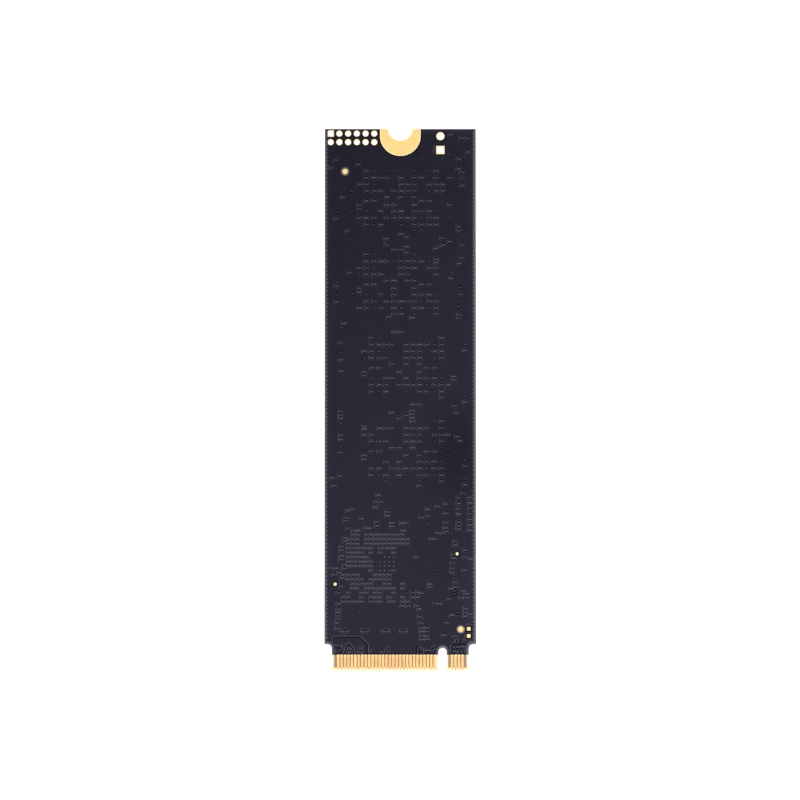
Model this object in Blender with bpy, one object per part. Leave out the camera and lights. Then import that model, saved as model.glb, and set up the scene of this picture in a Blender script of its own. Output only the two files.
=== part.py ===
"""Solid state drive on a 22 by 80 mm keyed edge-connector board, modelled bare side up.

Sizes are in millimetres; MM turns them into Blender's metres when a mesh is made.
X runs across the board, Y along it from the contacts to the screw notch, and Z up.
The drive lies on the flat tops of its memory packages, so Z = 0 is there and every
layer of the board is counted up from it. Nothing moves.
"""

import math

import bmesh
import bpy

MM = 0.001

# Board outline
BOARD_WIDTH = 22.0
BOARD_LENGTH = 80.0
TONGUE_LENGTH = 4.0
SHOULDER_WIDTH = 1.075
SHOULDER_RADIUS = 0.6
TONGUE_CORNER = 0.3
BEVEL_LENGTH = 0.48
BEVEL_DEPTH = 0.17
KEY_WIDTH = 1.2
KEY_DEPTH = 3.5
KEY_POSITION = 62.5

# Board layers
LAMINATE_THICKNESS = 0.71
COPPER_THICKNESS = 0.045
MASK_THICKNESS = 0.025
LAYER_GAP = 0.004
COPPER_PULLBACK = 0.3
COPPER_SETBACK = 4.4
MASK_CLEARANCE = 0.04
ISLAND_CLEARANCE = 0.1

# Edge contacts, numbered across both faces: even on the bare side, odd on the other
POSITION_COUNT = 75
CONTACT_PITCH = 0.5
CONTACT_WIDTH = 0.35
CONTACT_TAPER = 0.09
CONTACT_TAPER_LENGTH = 0.18
CONTACT_TIP_GAP = 0.02
CONTACT_ROOT = 0.4
CONTACT_EDGE_GAP = 0.3
CONTACT_KEY_GAP = 0.3
MASK_SETBACK = 2.37

# Plated screw notch
SCREW_NOTCH_DIAMETER = 3.5
SCREW_LAND_WIDTH = 5.94
SCREW_LAND_DEPTH = 4.02
PLATING_THICKNESS = 0.03

# Plated holes beside the screw notch
HEADER_PITCH = 1.27
HEADER_ROWS = 2
HEADER_HOLE = 0.76
HEADER_PAD = 0.96
HEADER_LAND_GAP = 0.334
HEADER_EDGE = 0.7
JUMPER_PITCH = 2.05
JUMPER_HOLE = 1.0
JUMPER_PAD = 1.28
JUMPER_SQUARE = 1.22
JUMPER_LAND_GAP = 2.23
JUMPER_EDGE = 1.085

# Gold lands on the bare side, each placed from the nearest long edge and the screw end
FIDUCIAL_DIAMETER = 0.78
FIDUCIAL_OPENING = 1.2
UPPER_FIDUCIAL_EDGE = 2.97
UPPER_FIDUCIAL_DOWN = 6.32
LOWER_FIDUCIAL_EDGE = 2.24
LOWER_FIDUCIAL_DOWN = 73.91
TEST_PAD_DIAMETER = 0.52
TEST_PAD_OPENING = 0.8
LEFT_TEST_PAD_EDGE = 1.56
LEFT_TEST_PAD_DOWN = 67.27
RIGHT_TEST_PAD_EDGE = 2.77
RIGHT_TEST_PAD_DOWN = 62.8
CHIP_LAND_SIZE = 0.54
CHIP_LAND_PITCH = 1.05
CHIP_LAND_EDGE = 1.08
CHIP_LAND_DOWN = 73.83
LAND_TAPER = 0.02

# Memory packages
NAND_WIDTH = 18.0
NAND_LENGTH = 12.0
NAND_HEIGHT = 1.2
NAND_GAP = 0.35
NAND_BAY_SETBACK = 4.6
NAND_BAY_LENGTH = 49.2
NAND_BALL_PITCH = 1.0
NAND_BALL_EDGE = 1.0
BALL_DIAMETER = 0.42
BALL_STANDOFF = 0.24
SEAT_GAP = 0.01
DIMPLE_DIAMETER = 0.8
DIMPLE_DEPTH = 0.05
DIMPLE_EDGE = 1.1

# Controller package: a moulded cap on a wider substrate
CONTROLLER_SIZE = 12.0
CONTROLLER_EDGE = 3.1
CONTROLLER_GAP = 4.8
CONTROLLER_HEIGHT = 1.1
CONTROLLER_SUBSTRATE = 0.26
CONTROLLER_LEDGE = 0.7
CONTROLLER_DRAFT = 0.12
CONTROLLER_BALL_PITCH = 0.65
CONTROLLER_BALL_EDGE = 0.8
CONTROLLER_BALL_DIAMETER = 0.3

# Power section down the right-hand edge
POWER_EDGE = 0.6
MANAGER_SIZE = 4.0
MANAGER_HEIGHT = 0.75
MANAGER_GAP = 1.2
LEAD_STANDOFF = 0.05
LEAD_PITCH = 0.5
LEAD_WIDTH = 0.25
LEAD_LENGTH = 0.4
RAIL_COUNT = 3
INDUCTOR_LENGTH = 2.5
INDUCTOR_WIDTH = 2.0
INDUCTOR_HEIGHT = 1.0
INDUCTOR_CHAMFER = 0.25
INDUCTOR_TERMINAL = 0.6
RAIL_GAP = 0.55
SWITCH_SIZE = 2.0
SWITCH_HEIGHT = 0.6

# Crystal beside the controller
CRYSTAL_WIDTH = 2.0
CRYSTAL_LENGTH = 2.5
CRYSTAL_HEIGHT = 0.55
CRYSTAL_BASE = 0.32
CRYSTAL_LEDGE = 0.12
CRYSTAL_TERMINAL = 0.6
CRYSTAL_DOWN = 2.6

# Chip capacitors
CHIP_LENGTH = 1.0
CHIP_WIDTH = 0.5
CHIP_HEIGHT = 0.5
CHIP_CAP = 0.25
CHIP_STEP = 0.015
RAIL_CHIP_LENGTH = 1.6
RAIL_CHIP_WIDTH = 0.8
RAIL_CHIP_HEIGHT = 0.8
RAIL_CHIP_CAP = 0.35
CHIP_SPACE = 0.3
LANE_COUNT = 4
LANE_PITCH = 2.85
LANE_CHIP_PITCH = 0.9
LANE_EDGE = 3.1
LANE_GAP = 2.6

# Facets
HOLE_STEPS = 12
NOTCH_STEPS = 20
FILLET_STEPS = 4
BALL_STEPS = 4

# Heights of the layers, counted up from the tops of the memory packages
FRONT_FACE = NAND_HEIGHT
FRONT_LAND_LOW = FRONT_FACE + MASK_THICKNESS
LAMINATE_LOW = FRONT_LAND_LOW + COPPER_THICKNESS
FRONT_LAND_HIGH = LAMINATE_LOW - LAYER_GAP
LAMINATE_HIGH = LAMINATE_LOW + LAMINATE_THICKNESS
BACK_LAND_LOW = LAMINATE_HIGH + LAYER_GAP
BACK_LAND_HIGH = LAMINATE_HIGH + COPPER_THICKNESS
BACK_FACE = BACK_LAND_HIGH + MASK_THICKNESS

# Places that follow from the sizes above
BOARD_LEFT = -BOARD_WIDTH / 2
BOARD_RIGHT = BOARD_WIDTH / 2
SCREW_END = BOARD_LENGTH / 2
CONTACT_END = -BOARD_LENGTH / 2
TONGUE_HALF = BOARD_WIDTH / 2 - SHOULDER_WIDTH
MIDDLE_POSITION = (POSITION_COUNT + 1) / 2
KEY_X = (KEY_POSITION - MIDDLE_POSITION) * CONTACT_PITCH / 2
SCREW_LAND_RADIUS = SCREW_LAND_WIDTH / 2
SCREW_LAND_Y = SCREW_END - SCREW_LAND_DEPTH + SCREW_LAND_RADIUS
MASK_END = CONTACT_END + MASK_SETBACK


def make_material(name, colour, roughness, metallic=0.0):
    """A plain Principled material; colour is linear RGB."""
    material = bpy.data.materials.new(name)
    material.use_nodes = True
    shader = material.node_tree.nodes["Principled BSDF"]
    shader.inputs["Base Color"].default_value = (*colour, 1.0)
    shader.inputs["Roughness"].default_value = roughness
    shader.inputs["Metallic"].default_value = metallic
    return material


def arc(centre, radius, start, end, steps):
    """Points along an arc between two angles in degrees, both ends included."""
    points = []
    for step in range(steps + 1):
        angle = math.radians(start + (end - start) * step / steps)
        points.append((centre[0] + radius * math.cos(angle), centre[1] + radius * math.sin(angle)))
    return points


def circle(centre, radius, steps=HOLE_STEPS):
    """A closed anticlockwise ring of points, the first of them on a diagonal."""
    return arc(centre, radius, 45.0, 405.0 - 360.0 / steps, steps - 1)


def rectangle(centre, size_x, size_y):
    """Four anticlockwise corners."""
    x, y = centre
    dx, dy = size_x / 2, size_y / 2
    return [(x - dx, y - dy), (x + dx, y - dy), (x + dx, y + dy), (x - dx, y + dy)]


def octagon(size_x, size_y, chamfer):
    """A rectangle about the origin with its four corners cut off."""
    dx, dy = size_x / 2, size_y / 2
    return [
        (-dx + chamfer, -dy), (dx - chamfer, -dy), (dx, -dy + chamfer), (dx, dy - chamfer),
        (dx - chamfer, dy), (-dx + chamfer, dy), (-dx, dy - chamfer), (-dx, -dy + chamfer),
    ]


def square_ring(centre, half, steps=HOLE_STEPS):
    """A square as a ring of as many points as a circle, a multiple of four, so that the two can be joined."""
    points = []
    for x, y in circle((0.0, 0.0), 1.0, steps):
        stretch = half / max(abs(x), abs(y))
        points.append((centre[0] + x * stretch, centre[1] + y * stretch))
    return points


def add_loop(bm, points, z):
    """Corners of one level, in metres."""
    return [bm.verts.new((x * MM, y * MM, z * MM)) for x, y in points]


def join_loops(bm, lower, upper):
    """Quads between two loops of the same length."""
    count = len(lower)
    for i in range(count):
        j = (i + 1) % count
        bm.faces.new((lower[i], lower[j], upper[j], upper[i]))


def fill(bm, *loops):
    """One flat face between a loop and the holes in it."""
    edges = []
    for loop in loops:
        for i, vert in enumerate(loop):
            pair = (vert, loop[(i + 1) % len(loop)])
            edges.append(bm.edges.get(pair) or bm.edges.new(pair))
    bmesh.ops.triangle_fill(bm, edges=edges, use_beauty=True)


def finish_mesh(bm, name):
    """Close the bmesh off as mesh data, smooth between facets and sharp at real edges."""
    bmesh.ops.recalc_face_normals(bm, faces=bm.faces[:])
    mesh = bpy.data.meshes.new(name)
    bm.to_mesh(mesh)
    bm.free()
    mesh.shade_smooth()
    mesh.set_sharp_from_angle(angle=math.radians(35.0))
    return mesh


def stacked_mesh(name, levels, holes=(), posts=(), post_end=0.0, dimple=None):
    """A solid whose outline changes from level to level.

    levels: (outline, z) from one end to the other, all with the same number of points.
    holes: outlines that go straight through.
    posts: outlines standing on the first level and reaching post_end.
    dimple: (outline, z of its floor) sunk into the last level.
    """
    bm = bmesh.new()
    loops = [add_loop(bm, outline, z) for outline, z in levels]
    for lower, upper in zip(loops, loops[1:]):
        join_loops(bm, lower, upper)
    first, last = [loops[0]], [loops[-1]]
    for hole in holes:
        ends = add_loop(bm, hole, levels[0][1]), add_loop(bm, hole, levels[-1][1])
        join_loops(bm, *ends)
        first.append(ends[0])
        last.append(ends[1])
    for post in posts:
        root, tip = add_loop(bm, post, levels[0][1]), add_loop(bm, post, post_end)
        join_loops(bm, root, tip)
        fill(bm, tip)
        first.append(root)
    if dimple:
        rim, floor = add_loop(bm, dimple[0], levels[-1][1]), add_loop(bm, dimple[0], dimple[1])
        join_loops(bm, rim, floor)
        fill(bm, floor)
        last.append(rim)
    fill(bm, *first)
    fill(bm, *last)
    return finish_mesh(bm, name)


def lofted_mesh(name, sections, closed):
    """A solid swept through closed sections of (x, y, z) points, ring-shaped if closed."""
    bm = bmesh.new()
    loops = [[bm.verts.new((x * MM, y * MM, z * MM)) for x, y, z in section] for section in sections]
    for before, after in zip(loops, loops[1:]):
        join_loops(bm, before, after)
    if closed:
        join_loops(bm, loops[-1], loops[0])
    else:
        fill(bm, loops[0])
        fill(bm, loops[-1])
    return finish_mesh(bm, name)


def place(name, mesh, material, parent, location=(0.0, 0.0, 0.0), turn=0.0):
    """One named sub-part; turn is in degrees about Z."""
    if not mesh.materials:
        mesh.materials.append(material)
    node = bpy.data.objects.new(name, mesh)
    bpy.context.scene.collection.objects.link(node)
    node.parent = parent
    node.location = [value * MM for value in location]
    node.rotation_euler = (0.0, 0.0, math.radians(turn))
    return node


def notch_edge(half_width, top, radius, centre_y):
    """The board's upper edge from right to left, with a round-bottomed notch in its middle."""
    points = [(half_width, top)]
    if centre_y < top:
        points.append((radius, top))
    points += arc((0.0, centre_y), radius, 0.0, -180.0, NOTCH_STEPS)
    if centre_y < top:
        points.append((-radius, top))
    points.append((-half_width, top))
    return points


def key_edge(inset, end_y):
    """The key notch from left to right, from the tongue's end at end_y and back to it."""
    radius = KEY_WIDTH / 2 + inset
    centre_y = CONTACT_END + KEY_DEPTH - KEY_WIDTH / 2
    rise = end_y - centre_y
    if rise >= radius:
        return []
    if rise > 0.0:
        start = math.degrees(math.asin(rise / radius))
        return arc((KEY_X, centre_y), radius, 180.0 - start, start, FILLET_STEPS * 2)
    sides = [(KEY_X - radius, end_y), (KEY_X + radius, end_y)]
    return sides[:1] + arc((KEY_X, centre_y), radius, 180.0, 0.0, FILLET_STEPS * 2) + sides[1:]


def board_outline(inset, upper_edge, end_edge):
    """The board's edge moved in by inset, anticlockwise as seen from the bare side.

    upper_edge runs from right to left and end_edge, along the tongue's end, from left to right.
    """
    radius = min(SHOULDER_RADIUS, SHOULDER_WIDTH * 0.9)
    centre = (-TONGUE_HALF - radius, CONTACT_END + TONGUE_LENGTH - radius)
    left = [(BOARD_LEFT + inset, CONTACT_END + TONGUE_LENGTH + inset)]
    left += arc(centre, radius + inset, 90.0, 0.0, FILLET_STEPS)
    right = [(-x, y) for x, y in reversed(left)]
    return upper_edge + left + end_edge + right


def laminate_outline(setback):
    """The bare board, with the tongue's end drawn back by setback for its bevel."""
    end_y = CONTACT_END + setback
    upper = notch_edge(
        BOARD_RIGHT, SCREW_END,
        SCREW_NOTCH_DIAMETER / 2 + PLATING_THICKNESS + LAYER_GAP, SCREW_END,
    )
    end = [(-TONGUE_HALF, end_y + TONGUE_CORNER), (-TONGUE_HALF + TONGUE_CORNER, end_y)]
    end += key_edge(0.0, end_y)
    end += [(TONGUE_HALF - TONGUE_CORNER, end_y), (TONGUE_HALF, end_y + TONGUE_CORNER)]
    return board_outline(0.0, upper, end)


def contact_runs(first):
    """X of every contact on one face, in a run on each side of the key, less those that the cuts would meet."""
    reach = TONGUE_HALF - CONTACT_EDGE_GAP - CONTACT_WIDTH / 2
    clear = (KEY_WIDTH + CONTACT_WIDTH) / 2 + CONTACT_KEY_GAP
    centres = [(n - MIDDLE_POSITION) * CONTACT_PITCH / 2 for n in range(first, POSITION_COUNT + 1, 2)]
    left = [x for x in centres if -reach <= x <= KEY_X - clear]
    right = [x for x in centres if KEY_X + clear <= x <= reach]
    return left, right


def contact_edge(run, root):
    """One run of contacts from left to right, each tapered to its tip just short of the bevel."""
    tip = CONTACT_END + BEVEL_LENGTH + CONTACT_TIP_GAP
    shoulder = tip + CONTACT_TAPER_LENGTH
    half = CONTACT_WIDTH / 2
    points = []
    for x in run:
        points += [
            (x - half, root), (x - half, shoulder), (x - half + CONTACT_TAPER, tip),
            (x + half - CONTACT_TAPER, tip), (x + half, shoulder), (x + half, root),
        ]
    return points


def slot_edge(run, root):
    """The slot under the mask's end for one run of contacts, from left to right."""
    reach = CONTACT_WIDTH / 2 + MASK_CLEARANCE / 2
    low = CONTACT_END + BEVEL_LENGTH
    return [(run[0] - reach, root), (run[0] - reach, low), (run[-1] + reach, low), (run[-1] + reach, root)]


def copper_outline(first_contact, grow, run_edge):
    """An outer copper layer, moved out by grow; run_edge draws its edge along one run of contacts."""
    inset = COPPER_PULLBACK - grow
    top = SCREW_END - COPPER_SETBACK + grow
    root = MASK_END + CONTACT_ROOT - grow
    left, right = contact_runs(first_contact)
    end = [(-TONGUE_HALF + inset, root)] + run_edge(left, root) + key_edge(inset, root)
    end += run_edge(right, root) + [(TONGUE_HALF - inset, root)]
    return board_outline(inset, [(BOARD_RIGHT - inset, top), (BOARD_LEFT + inset, top)], end)


def mask_outline():
    """The solder mask: the board's edge, less the screw land and the exposed contacts."""
    upper = notch_edge(BOARD_RIGHT, SCREW_END, SCREW_LAND_RADIUS + MASK_CLEARANCE, SCREW_LAND_Y)
    end = [(-TONGUE_HALF, MASK_END)] + key_edge(0.0, MASK_END) + [(TONGUE_HALF, MASK_END)]
    return board_outline(0.0, upper, end)


def header_holes():
    """Centres of the header's holes, the square first pad at the outer end of the upper row."""
    last_x = -SCREW_LAND_RADIUS - HEADER_LAND_GAP - HEADER_PAD / 2
    room = last_x - BOARD_LEFT - HEADER_PAD / 2 - CONTACT_EDGE_GAP
    columns = int(room / HEADER_PITCH) + 1
    centres = []
    for row in range(HEADER_ROWS):
        for column in range(columns):
            x = last_x - (columns - 1 - column) * HEADER_PITCH
            centres.append((x, SCREW_END - HEADER_EDGE - row * HEADER_PITCH))
    return centres


def jumper_holes():
    """Centres of the two larger holes: round pad first, square pad below it."""
    x = SCREW_LAND_RADIUS + JUMPER_LAND_GAP + JUMPER_PAD / 2
    top = SCREW_END - JUMPER_EDGE
    return [(x, top), (x, top - JUMPER_PITCH)]


def bare_side_lands():
    """Outline and mask opening of every gold land on the bare side, by name."""
    lands = {}
    for name, x, down in (
        ("fiducial_upper", BOARD_LEFT + UPPER_FIDUCIAL_EDGE, UPPER_FIDUCIAL_DOWN),
        ("fiducial_lower", BOARD_RIGHT - LOWER_FIDUCIAL_EDGE, LOWER_FIDUCIAL_DOWN),
    ):
        centre = (x, SCREW_END - down)
        lands[name] = circle(centre, FIDUCIAL_DIAMETER / 2), circle(centre, FIDUCIAL_OPENING / 2), centre
    for name, x, down in (
        ("test_pad_left", BOARD_LEFT + LEFT_TEST_PAD_EDGE, LEFT_TEST_PAD_DOWN),
        ("test_pad_right", BOARD_RIGHT - RIGHT_TEST_PAD_EDGE, RIGHT_TEST_PAD_DOWN),
    ):
        centre = (x, SCREW_END - down)
        lands[name] = circle(centre, TEST_PAD_DIAMETER / 2), circle(centre, TEST_PAD_OPENING / 2), centre
    opening = CHIP_LAND_SIZE + 2 * MASK_CLEARANCE
    for index in range(2):
        centre = (BOARD_RIGHT - CHIP_LAND_EDGE, SCREW_END - CHIP_LAND_DOWN - index * CHIP_LAND_PITCH)
        lands[f"chip_land_{index + 1}"] = (
            rectangle(centre, CHIP_LAND_SIZE, CHIP_LAND_SIZE), rectangle(centre, opening, opening), centre,
        )
    return lands


def shrunk(outline, centre, amount):
    """An outline drawn in towards its centre by about amount."""
    reach = max(math.hypot(x - centre[0], y - centre[1]) for x, y in outline)
    scale = 1.0 - amount / reach
    return [(centre[0] + (x - centre[0]) * scale, centre[1] + (y - centre[1]) * scale) for x, y in outline]


def collar_section(hole, barrel, pad):
    """Cross-section of plating through the board: a barrel with a land on each face."""
    return [
        (*hole, BACK_LAND_HIGH), (*pad, BACK_LAND_HIGH), (*pad, BACK_LAND_LOW), (*barrel, BACK_LAND_LOW),
        (*barrel, FRONT_LAND_HIGH), (*pad, FRONT_LAND_HIGH), (*pad, FRONT_LAND_LOW), (*hole, FRONT_LAND_LOW),
    ]


def eyelet_mesh(name, hole, pad, square):
    """A plated hole about the origin."""
    rings = (
        circle((0.0, 0.0), hole / 2),
        circle((0.0, 0.0), hole / 2 + PLATING_THICKNESS),
        square_ring((0.0, 0.0), pad / 2) if square else circle((0.0, 0.0), pad / 2),
    )
    return lofted_mesh(name, [collar_section(*points) for points in zip(*rings)], True)


def screw_plating_mesh(name):
    """The screw notch's plating: a half barrel between two U-shaped lands, open at the board's end."""
    hole = arc((0.0, SCREW_END), SCREW_NOTCH_DIAMETER / 2, 0.0, -180.0, NOTCH_STEPS + 2)
    barrel = arc((0.0, SCREW_END), SCREW_NOTCH_DIAMETER / 2 + PLATING_THICKNESS, 0.0, -180.0, NOTCH_STEPS + 2)
    pad = [(SCREW_LAND_RADIUS, SCREW_END)]
    pad += arc((0.0, SCREW_LAND_Y), SCREW_LAND_RADIUS, 0.0, -180.0, NOTCH_STEPS)
    pad.append((-SCREW_LAND_RADIUS, SCREW_END))
    return lofted_mesh(name, [collar_section(*points) for points in zip(hole, barrel, pad)], False)


def make_mask(name, bare_side, openings, material, parent):
    """One solder mask: a film over the copper that reaches down to the laminate around it."""
    inner, outer = (BACK_LAND_LOW, BACK_FACE) if bare_side else (FRONT_LAND_HIGH, FRONT_FACE)
    outline = mask_outline()
    mesh = stacked_mesh(name, [(outline, inner), (outline, outer)], openings)
    mask = place(name, mesh, material, parent)
    pocket = copper_outline(2 if bare_side else 1, MASK_CLEARANCE / 2, slot_edge)
    if bare_side:
        span = LAMINATE_HIGH - COPPER_THICKNESS, BACK_LAND_HIGH + LAYER_GAP
    else:
        span = LAMINATE_LOW + COPPER_THICKNESS, FRONT_LAND_LOW - LAYER_GAP
    cutter_mesh = stacked_mesh(name + "_pocket", [(pocket, span[0]), (pocket, span[1])])
    cutter = place(name + "_pocket", cutter_mesh, material, parent)
    cutter.hide_render = True
    cutter.display_type = "WIRE"
    cut = mask.modifiers.new("copper pocket", "BOOLEAN")
    cut.operation = "DIFFERENCE"
    cut.solver = "EXACT"
    cut.object = cutter
    return mask


def ball_ring(size_x, size_y, pitch, edge, diameter):
    """The outermost ring of solder balls under a package, as four-sided posts."""
    columns = int((size_x - 2 * edge) / pitch + 0.001) + 1
    rows = int((size_y - 2 * edge) / pitch + 0.001) + 1
    posts = []
    for column in range(columns):
        for row in range(rows):
            if column in (0, columns - 1) or row in (0, rows - 1):
                x = (column - (columns - 1) / 2) * pitch
                y = (row - (rows - 1) / 2) * pitch
                posts.append(circle((x, y), diameter / 2, BALL_STEPS))
    return posts


def nand_mesh():
    """A saw-cut ball-grid memory package, upside down, with its seat at Z = 0."""
    body = rectangle((0.0, 0.0), NAND_WIDTH, NAND_LENGTH)
    mark = (-NAND_WIDTH / 2 + DIMPLE_EDGE, NAND_LENGTH / 2 - DIMPLE_EDGE)
    return stacked_mesh(
        "nand", [(body, -BALL_STANDOFF), (body, -NAND_HEIGHT)],
        posts=ball_ring(NAND_WIDTH, NAND_LENGTH, NAND_BALL_PITCH, NAND_BALL_EDGE, BALL_DIAMETER),
        post_end=-SEAT_GAP,
        dimple=(circle(mark, DIMPLE_DIAMETER / 2), DIMPLE_DEPTH - NAND_HEIGHT),
    )


def controller_mesh():
    """A ball-grid package with a drafted moulded cap on a wider substrate."""
    cap_size = CONTROLLER_SIZE - 2 * CONTROLLER_LEDGE
    top_size = cap_size - 2 * CONTROLLER_DRAFT
    base = octagon(CONTROLLER_SIZE, CONTROLLER_SIZE, CONTROLLER_DRAFT)
    cap = octagon(cap_size, cap_size, CONTROLLER_LEDGE)
    top = octagon(top_size, top_size, CONTROLLER_LEDGE)
    step = -BALL_STANDOFF - CONTROLLER_SUBSTRATE
    mark = (DIMPLE_EDGE - top_size / 2, top_size / 2 - DIMPLE_EDGE)
    return stacked_mesh(
        "controller",
        [(base, -BALL_STANDOFF), (base, step), (cap, step), (top, -CONTROLLER_HEIGHT)],
        posts=ball_ring(
            CONTROLLER_SIZE, CONTROLLER_SIZE,
            CONTROLLER_BALL_PITCH, CONTROLLER_BALL_EDGE, CONTROLLER_BALL_DIAMETER,
        ),
        post_end=-SEAT_GAP,
        dimple=(circle(mark, DIMPLE_DIAMETER / 2), DIMPLE_DEPTH - CONTROLLER_HEIGHT),
    )


def leadless_mesh(name, size, height, sides):
    """A leadless package: terminals under its edges, a heat pad in the middle, a mark on top."""
    body = rectangle((0.0, 0.0), size, size)
    pad_size = size - 4 * LEAD_LENGTH
    posts = [rectangle((0.0, 0.0), pad_size, pad_size)]
    count = int((size - 2 * LEAD_LENGTH - LEAD_WIDTH) / LEAD_PITCH) + 1
    reach = size / 2 - LEAD_LENGTH / 2 - LAYER_GAP
    for index in range(count):
        along = (index - (count - 1) / 2) * LEAD_PITCH
        for side in (-1, 1):
            posts.append(rectangle((side * reach, along), LEAD_LENGTH, LEAD_WIDTH))
            if sides == 4:
                posts.append(rectangle((along, side * reach), LEAD_WIDTH, LEAD_LENGTH))
    mark_radius = min(DIMPLE_DIAMETER / 2, size / 12)
    mark = (-size / 4, size / 4)
    return stacked_mesh(
        name, [(body, -LEAD_STANDOFF), (body, -height)], posts=posts, post_end=-SEAT_GAP,
        dimple=(circle(mark, mark_radius), DIMPLE_DEPTH - height),
    )


def inductor_mesh():
    """A moulded power inductor on two terminals."""
    body = octagon(INDUCTOR_LENGTH, INDUCTOR_WIDTH, INDUCTOR_CHAMFER)
    inset = INDUCTOR_CHAMFER / 3
    top = octagon(INDUCTOR_LENGTH - 2 * inset, INDUCTOR_WIDTH - 2 * inset, INDUCTOR_CHAMFER - inset / 2)
    reach = INDUCTOR_LENGTH / 2 - INDUCTOR_TERMINAL / 2 - LAYER_GAP
    depth = INDUCTOR_WIDTH - 3 * INDUCTOR_CHAMFER
    posts = [rectangle((side * reach, 0.0), INDUCTOR_TERMINAL, depth) for side in (-1, 1)]
    return stacked_mesh(
        "inductor",
        [(body, -LEAD_STANDOFF), (body, inset - INDUCTOR_HEIGHT), (top, -INDUCTOR_HEIGHT)],
        posts=posts, post_end=-SEAT_GAP,
    )


def crystal_mesh():
    """A crystal in a ceramic tray with a metal lid, on four terminals."""
    base = octagon(CRYSTAL_WIDTH, CRYSTAL_LENGTH, CRYSTAL_LEDGE)
    lid_x = CRYSTAL_WIDTH - 2 * CRYSTAL_LEDGE
    lid_y = CRYSTAL_LENGTH - 2 * CRYSTAL_LEDGE
    lid = octagon(lid_x, lid_y, CRYSTAL_LEDGE)
    top = octagon(lid_x - CRYSTAL_LEDGE, lid_y - CRYSTAL_LEDGE, CRYSTAL_LEDGE)
    shoulder = (CRYSTAL_BASE + CRYSTAL_HEIGHT) / 2
    posts = []
    for x in (-1, 1):
        for y in (-1, 1):
            centre = (
                x * (CRYSTAL_WIDTH - CRYSTAL_TERMINAL) / 2 - x * CRYSTAL_LEDGE,
                y * (CRYSTAL_LENGTH - CRYSTAL_TERMINAL) / 2 - y * CRYSTAL_LEDGE,
            )
            posts.append(rectangle(centre, CRYSTAL_TERMINAL, CRYSTAL_TERMINAL))
    return stacked_mesh(
        "crystal",
        [(base, -LEAD_STANDOFF), (base, -CRYSTAL_BASE), (lid, -CRYSTAL_BASE),
         (lid, -shoulder), (top, -CRYSTAL_HEIGHT)],
        posts=posts, post_end=-SEAT_GAP,
    )


def chip_mesh(name, length, width, height, cap):
    """A chip capacitor along X: a ceramic block between two slightly thicker metal ends."""
    sections = []
    for x, step in (
        (-length / 2, 0.0), (cap - length / 2, 0.0), (cap - length / 2, CHIP_STEP),
        (length / 2 - cap, CHIP_STEP), (length / 2 - cap, 0.0), (length / 2, 0.0),
    ):
        half = width / 2 - step
        low, high = step - height, -SEAT_GAP - step
        sections.append([(x, -half, low), (x, half, low), (x, half, high), (x, -half, high)])
    return lofted_mesh(name, sections, False)


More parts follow.
